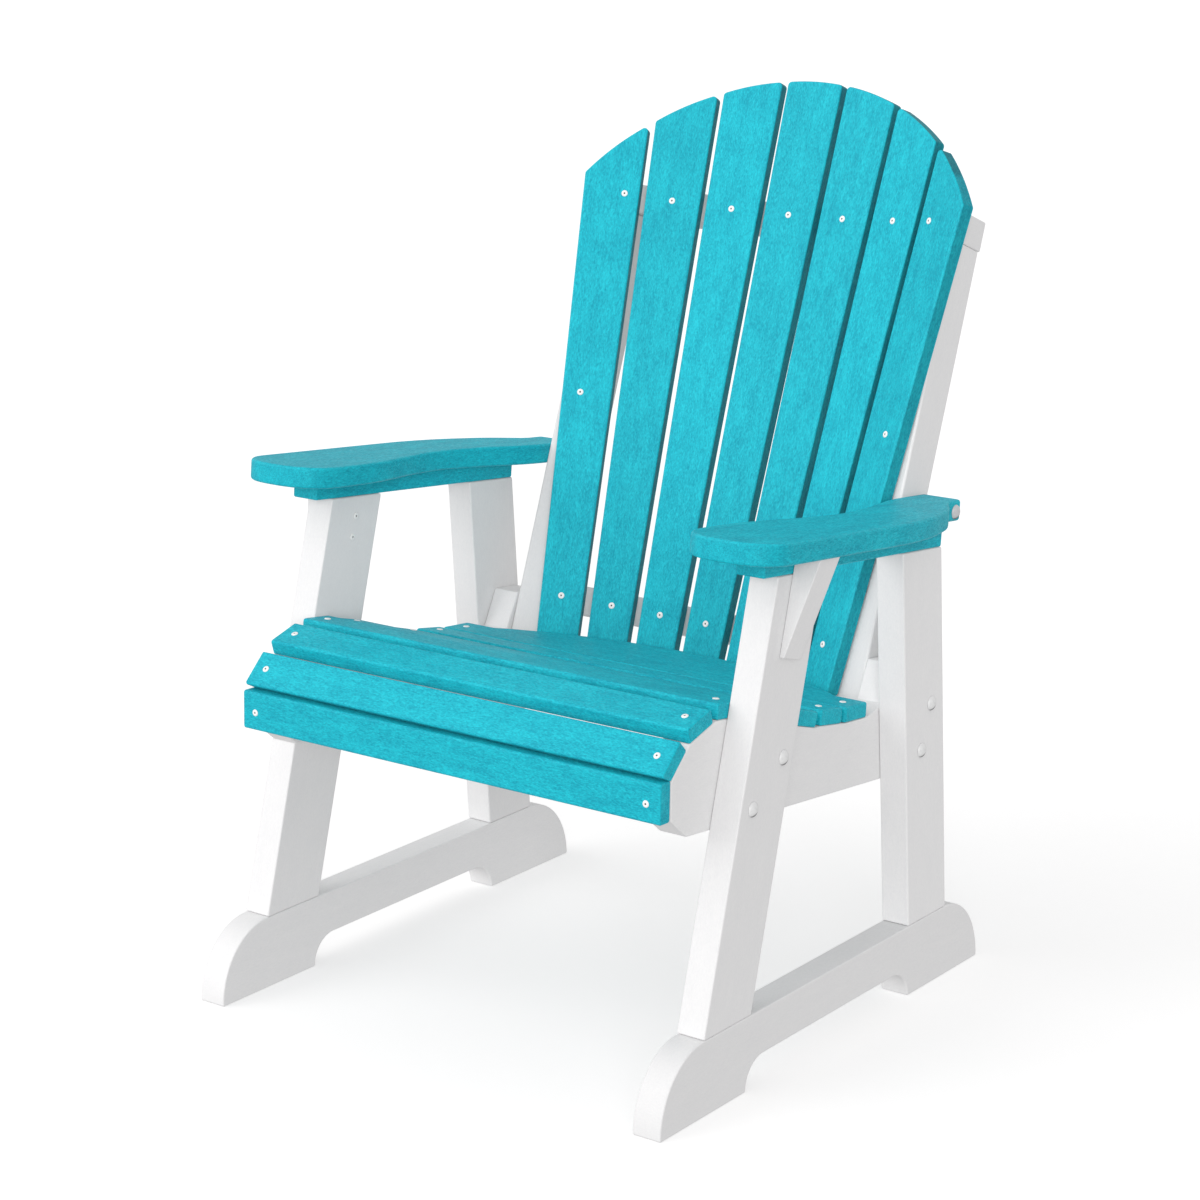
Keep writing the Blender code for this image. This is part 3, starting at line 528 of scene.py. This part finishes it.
# edges that meet closely are rounded less: apron to first slat, first slat to second
LONG_EDGES = {"seat_apron": (SLAT_EDGE, SLAT_EDGE, TIGHT_EDGE, SLAT_EDGE),
              "seat_slat_1": (SLAT_EDGE, TIGHT_EDGE, SLAT_EDGE, TIGHT_EDGE),
              "seat_slat_2": (SLAT_EDGE, SLAT_EDGE, SLAT_EDGE, TIGHT_EDGE)}
sections = {}
for name, y, z, tilt in SEAT_SLATS:
    sections[name] = slat_section(y, z, tilt, mitre=MITRE_BACK if name == "seat_slat_1" else 0.0)
    board(name, sections[name], 2 * RAIL_OUT, side_matrix(0.0), TURQUOISE, SLAT_END_ROUND, (0, 0, 1),
          fillet=LONG_EDGES.get(name, SLAT_EDGE))

board_y, board_z, board_tilt = REAR_BOARD
board_angle = radians(board_tilt)
board_rest = slat_section(board_y + REAR_BOARD_SIDE / 2 * cos(board_angle),
                          board_z + REAR_BOARD_SIDE / 2 * sin(board_angle), board_tilt,
                          depth=REAR_BOARD_SIDE)


def rear_board_outline():
    def arc_depth(x):
        return REAR_BOARD_MIDDLE - (REAR_BOARD_ARC - sqrt(REAR_BOARD_ARC ** 2 - x * x))
    edge, steps = REAR_BOARD_TAB, 48
    rear = [(edge - 2 * edge * i / steps, arc_depth(edge - 2 * edge * i / steps))
            for i in range(steps + 1)]
    side = REAR_BOARD_SIDE
    return ([(-RAIL_OUT, 0.0), (RAIL_OUT, 0.0), (RAIL_OUT, side), (edge, side)] + rear[1:-1]
            + [(-edge, side), (-RAIL_OUT, side)])


board_along = Vector((0.0, cos(board_angle), sin(board_angle)))
board_up = Vector((0.0, -sin(board_angle), cos(board_angle)))
board_front = Vector((0.0, board_y, board_z))
board("seat_rear_board", rear_board_outline(), SLAT_THICK,
      axes_matrix((1, 0, 0), board_along, board_up, board_front - board_up * (SLAT_THICK / 2)),
      TURQUOISE, SLAT_ROUND, (1, 0, 0))


def rail_floor(y):
    return RAIL_FLOOR[0] + RAIL_FLOOR[1] * y


def rail_outline():
    chin, nose = RAIL_CHIN
    apron, first = below(sections["seat_apron"]), below(sections["seat_slat_1"])
    nose_foot = (nose, apron[0][1])
    nose_top = meet(nose_foot, (0.0, 1.0), first[0],
                    (first[1][0] - first[0][0], first[1][1] - first[0][1]))
    rear, lean = REAR_LEG[1:]
    end = (rear - lean * LEG_FOOT - RAIL_END_INSET, 0.0)
    floor_end = meet(end, (lean, 1.0), (0.0, RAIL_FLOOR[0]), (1.0, RAIL_FLOOR[1]))
    ear_end = meet(end, (lean, 1.0), EAR_FRONT[1], (1.0, EAR_FALL))
    points = [(chin, rail_floor(chin)), floor_end, ear_end, EAR_FRONT[1], EAR_FRONT[0]]
    points += reversed(below(board_rest))
    for name, *_ in reversed(SEAT_SLATS[2:]):
        points += reversed(below(sections[name]))
    return points + [first[1], nose_top, nose_foot]


side_pair("seat_rail", rail_outline(), RAIL_IN, RAIL_OUT, WHITE, FRAME_ROUND, SLOPING_GRAIN)


# ---------------------------------------------------------------- back
def in_back(x, u, v):
    return X_DIR * x + U_DIR * u + V_DIR * v


def back_board(node, outline, u_low, u_high, grain):
    return board(node, outline, u_high - u_low,
                 axes_matrix(X_DIR, V_DIR, U_DIR, in_back(0.0, (u_low + u_high) / 2, 0.0)),
                 WHITE, FRAME_ROUND, grain)


def cross_rail_outline(fan, half_length, rear_v):
    radius, face_v = fan[:2]
    seat_radius = radius + SLAT_THICK + CLEAR
    reach = seat_radius / cos(FAN_STEP / 2)
    corners = [(reach * sin((i + 0.5) * FAN_STEP), face_v - radius + reach * cos((i + 0.5) * FAN_STEP))
               for i in range(-3, 3)]
    edge_angle = 3 * FAN_STEP
    on_seat = (seat_radius * sin(edge_angle), face_v - radius + seat_radius * cos(edge_angle))
    end_v = on_seat[1] - (half_length - on_seat[0]) * tan(edge_angle)
    steps = 36
    rear = [(half_length * (1 - 2 * i / steps),
             rear_v + CROSS_BULGE * cos(pi / 2 * (1 - 2 * i / steps))) for i in range(steps + 1)]
    return [(-half_length, end_v)] + corners + [(half_length, end_v)] + rear


high_low = BACK_HIGH_U - CROSS_THICK / 2
back_board("back_top_rail", cross_rail_outline(FAN_HIGH, RAIL_IN, CROSS_REAR_V),
           high_low, BACK_HIGH_U + CROSS_THICK / 2, (1, 0, 0))
back_board("back_bottom_rail", cross_rail_outline(FAN_LOW, UPRIGHT_IN - CLEAR, CROSS_REAR_V),
           BACK_LOW_U - CROSS_THICK / 2, BACK_LOW_U + CROSS_THICK / 2, (1, 0, 0))


def upright(side, label):
    """An upright whose foot is cut along the lower edge of the seat rail."""
    bevel_v = UPRIGHT_FRONT_V + (UPRIGHT_OUT - UPRIGHT_IN) * tan(3 * FAN_STEP)
    outline = [(UPRIGHT_IN, bevel_v), (UPRIGHT_OUT, UPRIGHT_FRONT_V),
               (UPRIGHT_OUT, UPRIGHT_REAR_V), (UPRIGHT_IN, UPRIGHT_REAR_V)]
    length = high_low - CLEAR - UPRIGHT_FOOT_U
    middle = UPRIGHT_FOOT_U + length / 2

    def to_rail_floor(vert):
        if vert.co.z > 0:
            return
        # along the upright, layout y = u sin + v cos and z = u cos - v sin; solve for the floor
        v = vert.co.y
        u = ((RAIL_FLOOR[0] + RAIL_FLOOR[1] * v * cos(RECLINE) + v * sin(RECLINE))
             / (cos(RECLINE) - RAIL_FLOOR[1] * sin(RECLINE)))
        vert.co.z = u - middle
    board("back_upright_" + label, outline if side > 0 else mirrored(outline), length,
          axes_matrix(X_DIR, V_DIR, U_DIR, in_back(0.0, middle, 0.0)), WHITE, FRAME_ROUND,
          (0, 0, 1), taper=to_rail_floor)


upright(-1, "left")
upright(1, "right")


def fan_point(i, fan, u):
    radius, face_v = fan[:2]
    angle = i * FAN_STEP
    return in_back(radius * sin(angle), u, face_v - radius * (1 - cos(angle)))


def slat_frame(i):
    """Placement of back slat i: lower middle of its face, up, across and outward directions."""
    low, high = fan_point(i, FAN_LOW, BACK_LOW_U), fan_point(i, FAN_HIGH, BACK_HIGH_U)
    up = (high - low).normalized()
    across = X_DIR * cos(i * FAN_STEP) - V_DIR * sin(i * FAN_STEP)
    across = (across - up * across.dot(up)).normalized()
    return low, (high - low).length, up, across, across.cross(up)


def back_slat(i):
    low, length, up, across, face = slat_frame(i)
    taper = (FAN_HIGH[2] - FAN_LOW[2]) / length / 2

    def half_width(along):
        return FAN_LOW[2] / 2 + taper * along

    def crown(w):
        start = low + across * w
        sx, su = start.x, start.dot(U_DIR) - CROWN_U
        dx, du = up.x, up.dot(U_DIR)
        a, b, c = dx * dx + du * du, sx * dx + su * du, sx * sx + su * su - CROWN_RADIUS ** 2
        return (-b + sqrt(b * b - a * c)) / a

    def top_corner(side):
        along = crown(0.0)
        for _ in range(6):
            along = crown(side * half_width(along))
        return along

    foot = (BACK_FOOT_U - BACK_LOW_U) / up.dot(U_DIR)
    right, left = half_width(top_corner(1)), -half_width(top_corner(-1))
    steps = 10
    outline = [(-half_width(foot), foot), (half_width(foot), foot)]
    outline += [(w, crown(w)) for w in (right + (left - right) * k / steps for k in range(steps + 1))]
    board("back_slat_%d" % (i + 4), outline, SLAT_THICK,
          axes_matrix(across, up, face, low - face * (SLAT_THICK / 2)),
          TURQUOISE, SLAT_ROUND, (0, 1, 0), fillet=SLAT_CORNER,
          # walls that face a neighbouring slat get painted shade
          wall_tones=(OPEN_WALL if i == -3 else GAP_WALL_SHADE, OPEN_WALL if i == 3 else GAP_WALL_SHADE))


for index in range(-3, 4):
    back_slat(index)


# ---------------------------------------------------------------- arms
def arm_line(y, lift=0.0):
    return LEG_TOP_Z - (y - LEG_TOP_Y) * tan(FALL) + lift / cos(FALL)


def support_outline():
    front = Vector((SUPPORT_FRONT, arm_line(SUPPORT_FRONT)))
    length = (SUPPORT_REAR - SUPPORT_FRONT) / cos(FALL)
    along, up = Vector((cos(FALL), -sin(FALL))), Vector((sin(FALL), cos(FALL)))
    low, high = CLEAR, CLEAR + SUPPORT_HEIGHT
    return [tuple(front + along * a + up * b)
            for a, b in ((0.0, low), (length, low), (length, high), (0.0, high))]


def arm_outline(side):
    inner_x, outer_x = ARM_INNER[0][0], ARM_OUTER[-1][0]
    middle, half = (inner_x + outer_x) / 2, (outer_x - inner_x) / 2
    steps = 44
    points = []
    for step in range(steps + 1):
        c, d = -cos(pi * step / steps), sin(pi * step / steps)
        points.append((middle + half * copysign(abs(c) ** (2 / ARM_FRONT_POWER), c),
                       ARM_FRONT_Y + ARM_FRONT_DEPTH * (1 - abs(d) ** (2 / ARM_FRONT_POWER))))
    points += flowing(list(reversed(ARM_OUTER)))
    t = TAIL_CORNER
    points += [(TAIL_OUT, TAIL_START)]
    points += arc((TAIL_OUT - t, TAIL_END - t), (t, t), 0, 90, 8)
    points += [(RAIL_IN, TAIL_END)] + flowing(list(reversed(ARM_INNER)))
    top_set_back = (ARM_LOW + ARM_THICK) * sin(FALL)
    points = [(x, (y - LEG_TOP_Y - top_set_back) / cos(FALL)) for x, y in points]
    return points if side > 0 else mirrored(points)


def bracket(side, label):
    front, rear, lean = FRONT_LEG
    leg_axis = Vector((lean, 1.0)).normalized()
    across = Vector((leg_axis.y, -leg_axis.x))
    middle = Vector(((front + rear) / 2 + lean * (BRACKET_FOOT_Z - LEG_FOOT), BRACKET_FOOT_Z))
    under_arm = (LEG_TOP_Y, arm_line(LEG_TOP_Y, ARM_LOW - CLEAR))
    foot = [middle - across * (BRACKET_WIDTH / 2), middle + across * (BRACKET_WIDTH / 2)]
    top = [Vector(meet(p, leg_axis, under_arm, (cos(FALL), -sin(FALL)))) for p in foot]
    height = (top[0] - foot[0]).length
    slope = (BRACKET_TOP_REACH - BRACKET_FOOT_REACH) / height

    def lean_in(vert):
        if vert.co.z * side > 0:
            rise = (Vector(vert.co[:2]) - foot[0]).dot(leg_axis)
            vert.co.z -= side * (height - rise) * slope
    outline = [tuple(p) for p in (foot[0], foot[1], top[1], top[0])]
    board("arm_bracket_" + label, outline, BRACKET_TOP_REACH,
          side_matrix(side * (LEG_OUT + CLEAR + BRACKET_TOP_REACH / 2)), WHITE, BRACKET_ROUND,
          (lean, 1, 0), taper=lean_in)


side_pair("arm_support", support_outline(), LEG_IN, LEG_OUT, TURQUOISE, FRAME_ROUND, SLOPING_GRAIN)
arm_origin = Vector((0.0, LEG_TOP_Y, LEG_TOP_Z)) + FALL_UP * (ARM_LOW + ARM_THICK / 2)
for side, label in ((-1, "left"), (1, "right")):
    board("arm_" + label, arm_outline(side), ARM_THICK,
          axes_matrix(X_DIR, FALL_ALONG, FALL_UP, arm_origin), TURQUOISE, ARM_ROUND, (0, 1, 0))
    bracket(side, label)


# ---------------------------------------------------------------- fasteners
def turned_mesh(name, profile, sides, lobes=None, shade_toward=None):
    """A turned solid from (radius, z) rings, top to bottom. Rings listed in lobes are six-lobed.

    The last argument is the local direction, x and y, towards which the rings of the head are darkened
    with painted shade."""
    bm = bmesh.new()
    recess = bm.verts.layers.float.new("recess")
    rings = []
    for k, (radius, z) in enumerate(profile):
        if radius == 0.0:
            rings.append([bm.verts.new((0.0, 0.0, z))])
        else:
            lobed = LOBE_DEPTH * radius if lobes and k in lobes else 0.0
            rings.append([bm.verts.new(((radius + lobed * cos(SCREW_LOBES * a)) * cos(a),
                                        (radius + lobed * cos(SCREW_LOBES * a)) * sin(a), z))
                          for a in (2 * pi * i / sides for i in range(sides))])
        if lobes and k <= max(lobes):
            # painted shade inside the drive recess, fainter at its lip
            for vert in rings[-1]:
                vert[recess] = 1.0 if k < max(lobes) else 0.35
        elif shade_toward and z >= 0.0:
            # painted shade: the head's rings darken towards the given direction
            for vert in rings[-1]:
                toward = (vert.co.x * shade_toward[0] + vert.co.y * shade_toward[1]) / BOLT_HEAD_RADIUS
                vert[recess] = min(max((toward - SHADE_START) / SHADE_BAND, 0.0), 1.0)
    for upper, lower in zip(rings, rings[1:]):
        for i in range(sides):
            j = (i + 1) % sides
            quad = [upper[i % len(upper)], lower[i % len(lower)], lower[j % len(lower)],
                    upper[j % len(upper)]]
            bm.faces.new(list(dict.fromkeys(quad)))
    bmesh.ops.recalc_face_normals(bm, faces=bm.faces)
    mesh = bpy.data.meshes.new(name)
    bm.to_mesh(mesh)
    bm.free()
    return mesh


def crisp(obj, angle=38):
    """Smooth shading that keeps rims sharper than the angle crisp."""
    obj.data.set_sharp_from_angle(angle=radians(angle))
    return obj


def outward(side, x, y, z):
    """Local +z points out of the side of the chair."""
    return axes_matrix((0, 0, -side), (0, 1, 0), (side, 0, 0), (side * x, y, z))


def screw_mesh():
    """Pan-head screw with a six-lobe recess, a soft rim and a pointed shank."""
    recess = [(0.0, 0.0001), (0.00092, 0.00015), (0.00112, 0.0009)]
    dome = [(0.00140, 0.00122), (0.0027, 0.00118), (0.0036, 0.00092), (0.0041, 0.00055),
            (0.0042, 0.0002), (0.0041, 0.0), (0.0018, -0.0003)]
    shank = [(0.0018, -0.028), (0.0014, -0.031), (0.0, -0.034)]
    return turned_mesh("face_screw", recess + dome + shank, 30, lobes=(1, 2))


face_screw = screw_mesh()


def add_screw(name, matrix):
    return crisp(finish_piece(name, face_screw.copy(), matrix, COATED, []), 50)


def on_face(origin, normal, along):
    """Placement on a face: local z is the face's normal."""
    normal, along = Vector(normal).normalized(), Vector(along)
    along = (along - normal * along.dot(normal)).normalized()
    return axes_matrix(along, normal.cross(along), normal, origin)


def seat_screws():
    rows = []
    for name, y, z, tilt in SEAT_SLATS:
        along = Vector((0.0, cos(radians(tilt)), sin(radians(tilt)))) * SEAT_SCREW_SHIFT.get(name, 0.0)
        rows.append((name, Vector((0.0, y, z)) + along, radians(tilt)))
    rows.append(("seat_rear_board", board_front + board_along * REAR_BOARD_SCREW, board_angle))
    for name, centre, tilt in rows:
        normal = Vector((0.0, -sin(tilt), cos(tilt)))
        for side, label in ((-1, "left"), (1, "right")):
            spin = 1.9 * len(name) + centre.y * 40 + side   # no two screws stop at the same angle
            add_screw("%s_screw_%s" % (name, label),
                      on_face(centre + X_DIR * (side * SEAT_SCREW_X), normal,
                              (cos(spin), sin(spin) * cos(tilt), sin(spin) * sin(tilt))))


def back_screws():
    for i in range(-3, 4):
        low, length, up, across, face = slat_frame(i)
        outer = abs(i) == 3
        spots = [("top", length - (OUTER_TOP_DROP if outer else 0.0), TOP_SCREW_SHIFT[i + 3]),
                 ("bottom", 0.0, BOTTOM_SCREW_SHIFT[i + 3])]
        if outer:
            spots.append(("middle", length / 2, copysign(OUTER_MIDDLE_INSET, i)))
        for label, height, shift in spots:
            spin = i * 1.3 + height * 7
            add_screw("back_slat_%d_screw_%s" % (i + 4, label),
                      on_face(low + up * height + across * shift, face,
                              across * cos(spin) + up * sin(spin)))


seat_screws()
back_screws()


def domed_bolt(node, side, centre, head_x, inner_x, finish):
    """Carriage bolt: domed head with a soft rim, shank, threaded end beyond the nut."""
    y, z = centre
    r, h = BOLT_HEAD_RADIUS, BOLT_HEAD_HEIGHT
    length = head_x - inner_x + NUT_HEIGHT + THREAD_END
    dome_radius, rim_height = 0.965 * r, 0.10 * h
    dome = [(0.0, h)] + [(dome_radius * sin(a), rim_height + (h - rim_height) * cos(a))
                         for a in (radians(9 * k) for k in range(1, 10))]
    rim = [(r * 0.99, 0.7 * rim_height), (r, 0.3 * rim_height), (r, 0.0), (BOLT_RADIUS, 0.0)]
    end = -length
    threads, root = [], BOLT_RADIUS * (1 - THREAD_DEPTH)
    pitch = (NUT_HEIGHT + THREAD_END) / THREAD_TURNS
    for k in range(THREAD_TURNS):
        start = end + (THREAD_TURNS - k) * pitch
        threads += [(root, start - 0.02 * pitch), (BOLT_RADIUS, start - 0.5 * pitch)]
    tip = [(root, end + 0.0004), (BOLT_RADIUS * 0.7, end), (0.0, end)]
    # painted shade towards the lower rear of the bolt head
    mesh = turned_mesh(node + "_turned", dome + rim + threads + tip, 40,
                       shade_toward=(side * SHADE_DOWN, SHADE_REAR))
    crisp(finish_piece(node + "_domed", mesh, outward(side, head_x + CLEAR, y, z), finish, [node]))


def hex_nut(node, side, centre, inner_x):
    """Hexagon nut with chamfered corners and a plain bore, chamfered at both ends."""
    y, z = centre
    bm = bmesh.new()
    sides, half = 48, NUT_HEIGHT / 2
    flat = NUT_RADIUS * cos(pi / 6)

    def hexagon(a):
        return flat / cos((a + pi / 6) % (pi / 3) - pi / 6)
    rings = []
    bore, (cut_across, cut_along) = BOLT_RADIUS + CLEAR, BORE_CHAMFER
    profile = [(bore, half - cut_along), (bore + cut_across, half), (flat * 0.97, half),
               (None, half - NUT_CHAMFER), (None, -half + NUT_CHAMFER), (flat * 0.97, -half),
               (bore + cut_across, -half), (bore, -half + cut_along)]
    for radius, height in profile:
        ring = []
        for i in range(sides):
            a = 2 * pi * i / sides
            r = hexagon(a) if radius is None else radius
            if radius is None:
                height_here = height - copysign(0.9 * (r - flat), height)
            else:
                height_here = height
            ring.append(bm.verts.new((r * cos(a), r * sin(a), height_here)))
        rings.append(ring)
    for upper, lower in zip(rings, rings[1:] + rings[:1]):
        for i in range(sides):
            j = (i + 1) % sides
            bm.faces.new((upper[i], lower[i], lower[j], upper[j]))
    bmesh.ops.recalc_face_normals(bm, faces=bm.faces)
    mesh = bpy.data.meshes.new(node + "_hex")
    bm.to_mesh(mesh)
    bm.free()
    nut_x = inner_x - CLEAR - NUT_HEIGHT / 2
    crisp(finish_piece(node + "_hex", mesh, outward(side, nut_x, y, z), ZINC, [node]), 25)


def bracket_screw(node, side, centre):
    y, z = centre
    matrix = axes_matrix((0, 0, side), (0, 1, 0), (-side, 0, 0), (side * (LEG_IN - CLEAR), y, z))
    crisp(finish_piece(node + "_pan", face_screw.copy(), matrix, COATED, [node]), 50)


for side, label in ((-1, "left"), (1, "right")):
    for k, centre in enumerate(FRONT_BOLTS, 1):
        domed_bolt("front_leg_bolt_%s_%d" % (label, k), side, centre, LEG_OUT, RAIL_IN, PAINTED)
        hex_nut("front_leg_nut_%s_%d" % (label, k), side, centre, RAIL_IN)
    for k, centre in enumerate(REAR_BOLTS, 1):
        domed_bolt("rear_leg_bolt_%s_%d" % (label, k), side, centre, LEG_OUT, UPRIGHT_IN, PAINTED)
        hex_nut("rear_leg_nut_%s_%d" % (label, k), side, centre, UPRIGHT_IN)
    domed_bolt("arm_bolt_" + label, side, ARM_BOLT, TAIL_OUT, UPRIGHT_IN, BARE)
    hex_nut("arm_nut_" + label, side, ARM_BOLT, UPRIGHT_IN)
    for k, centre in enumerate(BRACKET_SCREWS, 1):
        bracket_screw("bracket_screw_%s_%d" % (label, k), side, centre)


# ---------------------------------------------------------------- floor, light and camera
def cove():
    """A pale studio floor that curves up into a wall all round, far from the chair."""
    scene = bpy.context.scene
    profile = [(2.0, 0.0), (COVE_FLAT, 0.0)]
    profile += [(COVE_FLAT + COVE_RISE * sin(a), COVE_RISE * (1 - cos(a)))
                for a in (radians(10 * k) for k in range(1, 10))]
    turns = [2 * pi * i / COVE_SIDES for i in range(COVE_SIDES)]
    bm = bmesh.new()
    rings = [[bm.verts.new((r * cos(a), r * sin(a), z)) for a in turns] for r, z in profile]
    bm.faces.new(rings[0])
    for inner, outer in zip(rings, rings[1:]):
        for i in range(COVE_SIDES):
            j = (i + 1) % COVE_SIDES
            bm.faces.new((inner[i], outer[i], outer[j], inner[j]))
    mesh = bpy.data.meshes.new("studio_cove")
    bm.to_mesh(mesh)
    bm.free()
    mesh.shade_smooth()
    obj = bpy.data.objects.new("studio_cove", mesh)
    scene.collection.objects.link(obj)
    mat, tree, shader = node_tree("studio_cove")
    place_on = tree.nodes.new("ShaderNodeTexCoord").outputs["Object"]
    tooth = noise(tree, place_on, (35.0, 35.0, 35.0), detail=2.0)
    tree.links.new(mixed(tree, tooth, tuple(0.99 * c for c in COVE_TINT) + (1.0,), COVE_TINT + (1.0,)),
                   shader.inputs["Base Color"])
    shader.inputs["Roughness"].default_value = 0.9
    shader.inputs["Specular IOR Level"].default_value = 0.0
    shader.inputs["Emission Color"].default_value = (1.0, 1.0, 1.0, 1.0)
    shader.inputs["Emission Strength"].default_value = COVE_GLOW
    mesh.materials.append(mat)
    # the cove is only seen: the light on the chair comes from the world and the softboxes
    obj.visible_diffuse = False
    obj.visible_glossy = False
    obj.visible_shadow = False


def studio():
    """Even light from the room and three softboxes: right, ahead, and high on the left."""
    scene = bpy.context.scene
    world = bpy.data.worlds.new("studio")
    world.use_nodes = True
    scene.world = world
    tree = world.node_tree
    direction = tree.nodes.new("ShaderNodeTexCoord").outputs["Generated"]
    split = tree.nodes.new("ShaderNodeSeparateXYZ")
    tree.links.new(direction, split.inputs[0])
    upward = spread(tree, split.outputs["Z"], -HORIZON_BLUR, HORIZON_BLUR)
    tree.links.new(mixed(tree, upward, (FLOOR_LIGHT,) * 3 + (1.0,), (SKY_LIGHT,) * 3 + (1.0,)),
                   tree.nodes["Background"].inputs["Color"])

    for name, azimuth, height, spread_angle, strength in SOFTBOXES:
        light = bpy.data.lights.new(name, 'SUN')
        light.energy = strength
        light.angle = radians(spread_angle)
        lamp = bpy.data.objects.new(name, light)
        a, e = radians(azimuth), radians(height)
        toward = Vector((sin(a) * cos(e), -cos(a) * cos(e), sin(e)))
        lamp.rotation_euler = toward.to_track_quat('Z', 'Y').to_euler()
        scene.collection.objects.link(lamp)
    scene.view_settings.view_transform = 'Standard'


def photographer():
    """The photograph's own viewpoint: azimuth, elevation, roll and lens."""
    camera = bpy.data.cameras.new("camera")
    camera.sensor_width = CAMERA_SENSOR
    camera.lens = CAMERA_LENS
    camera.clip_end = 200.0
    obj = bpy.data.objects.new("camera", camera)
    azimuth, height, roll = radians(CAMERA_AZIMUTH), radians(CAMERA_HEIGHT), radians(CAMERA_ROLL)
    back = Vector((sin(azimuth) * cos(height), -cos(azimuth) * cos(height), sin(height)))
    matrix = back.to_track_quat('Z', 'Y').to_matrix().to_4x4() @ Matrix.Rotation(roll, 4, 'Z')
    matrix.translation = Vector(CAMERA_PLACE) - Vector((0.0, MIDDLE_Y, 0.0))
    obj.matrix_world = matrix
    bpy.context.scene.collection.objects.link(obj)
    bpy.context.scene.camera = obj


cove()
studio()
photographer()
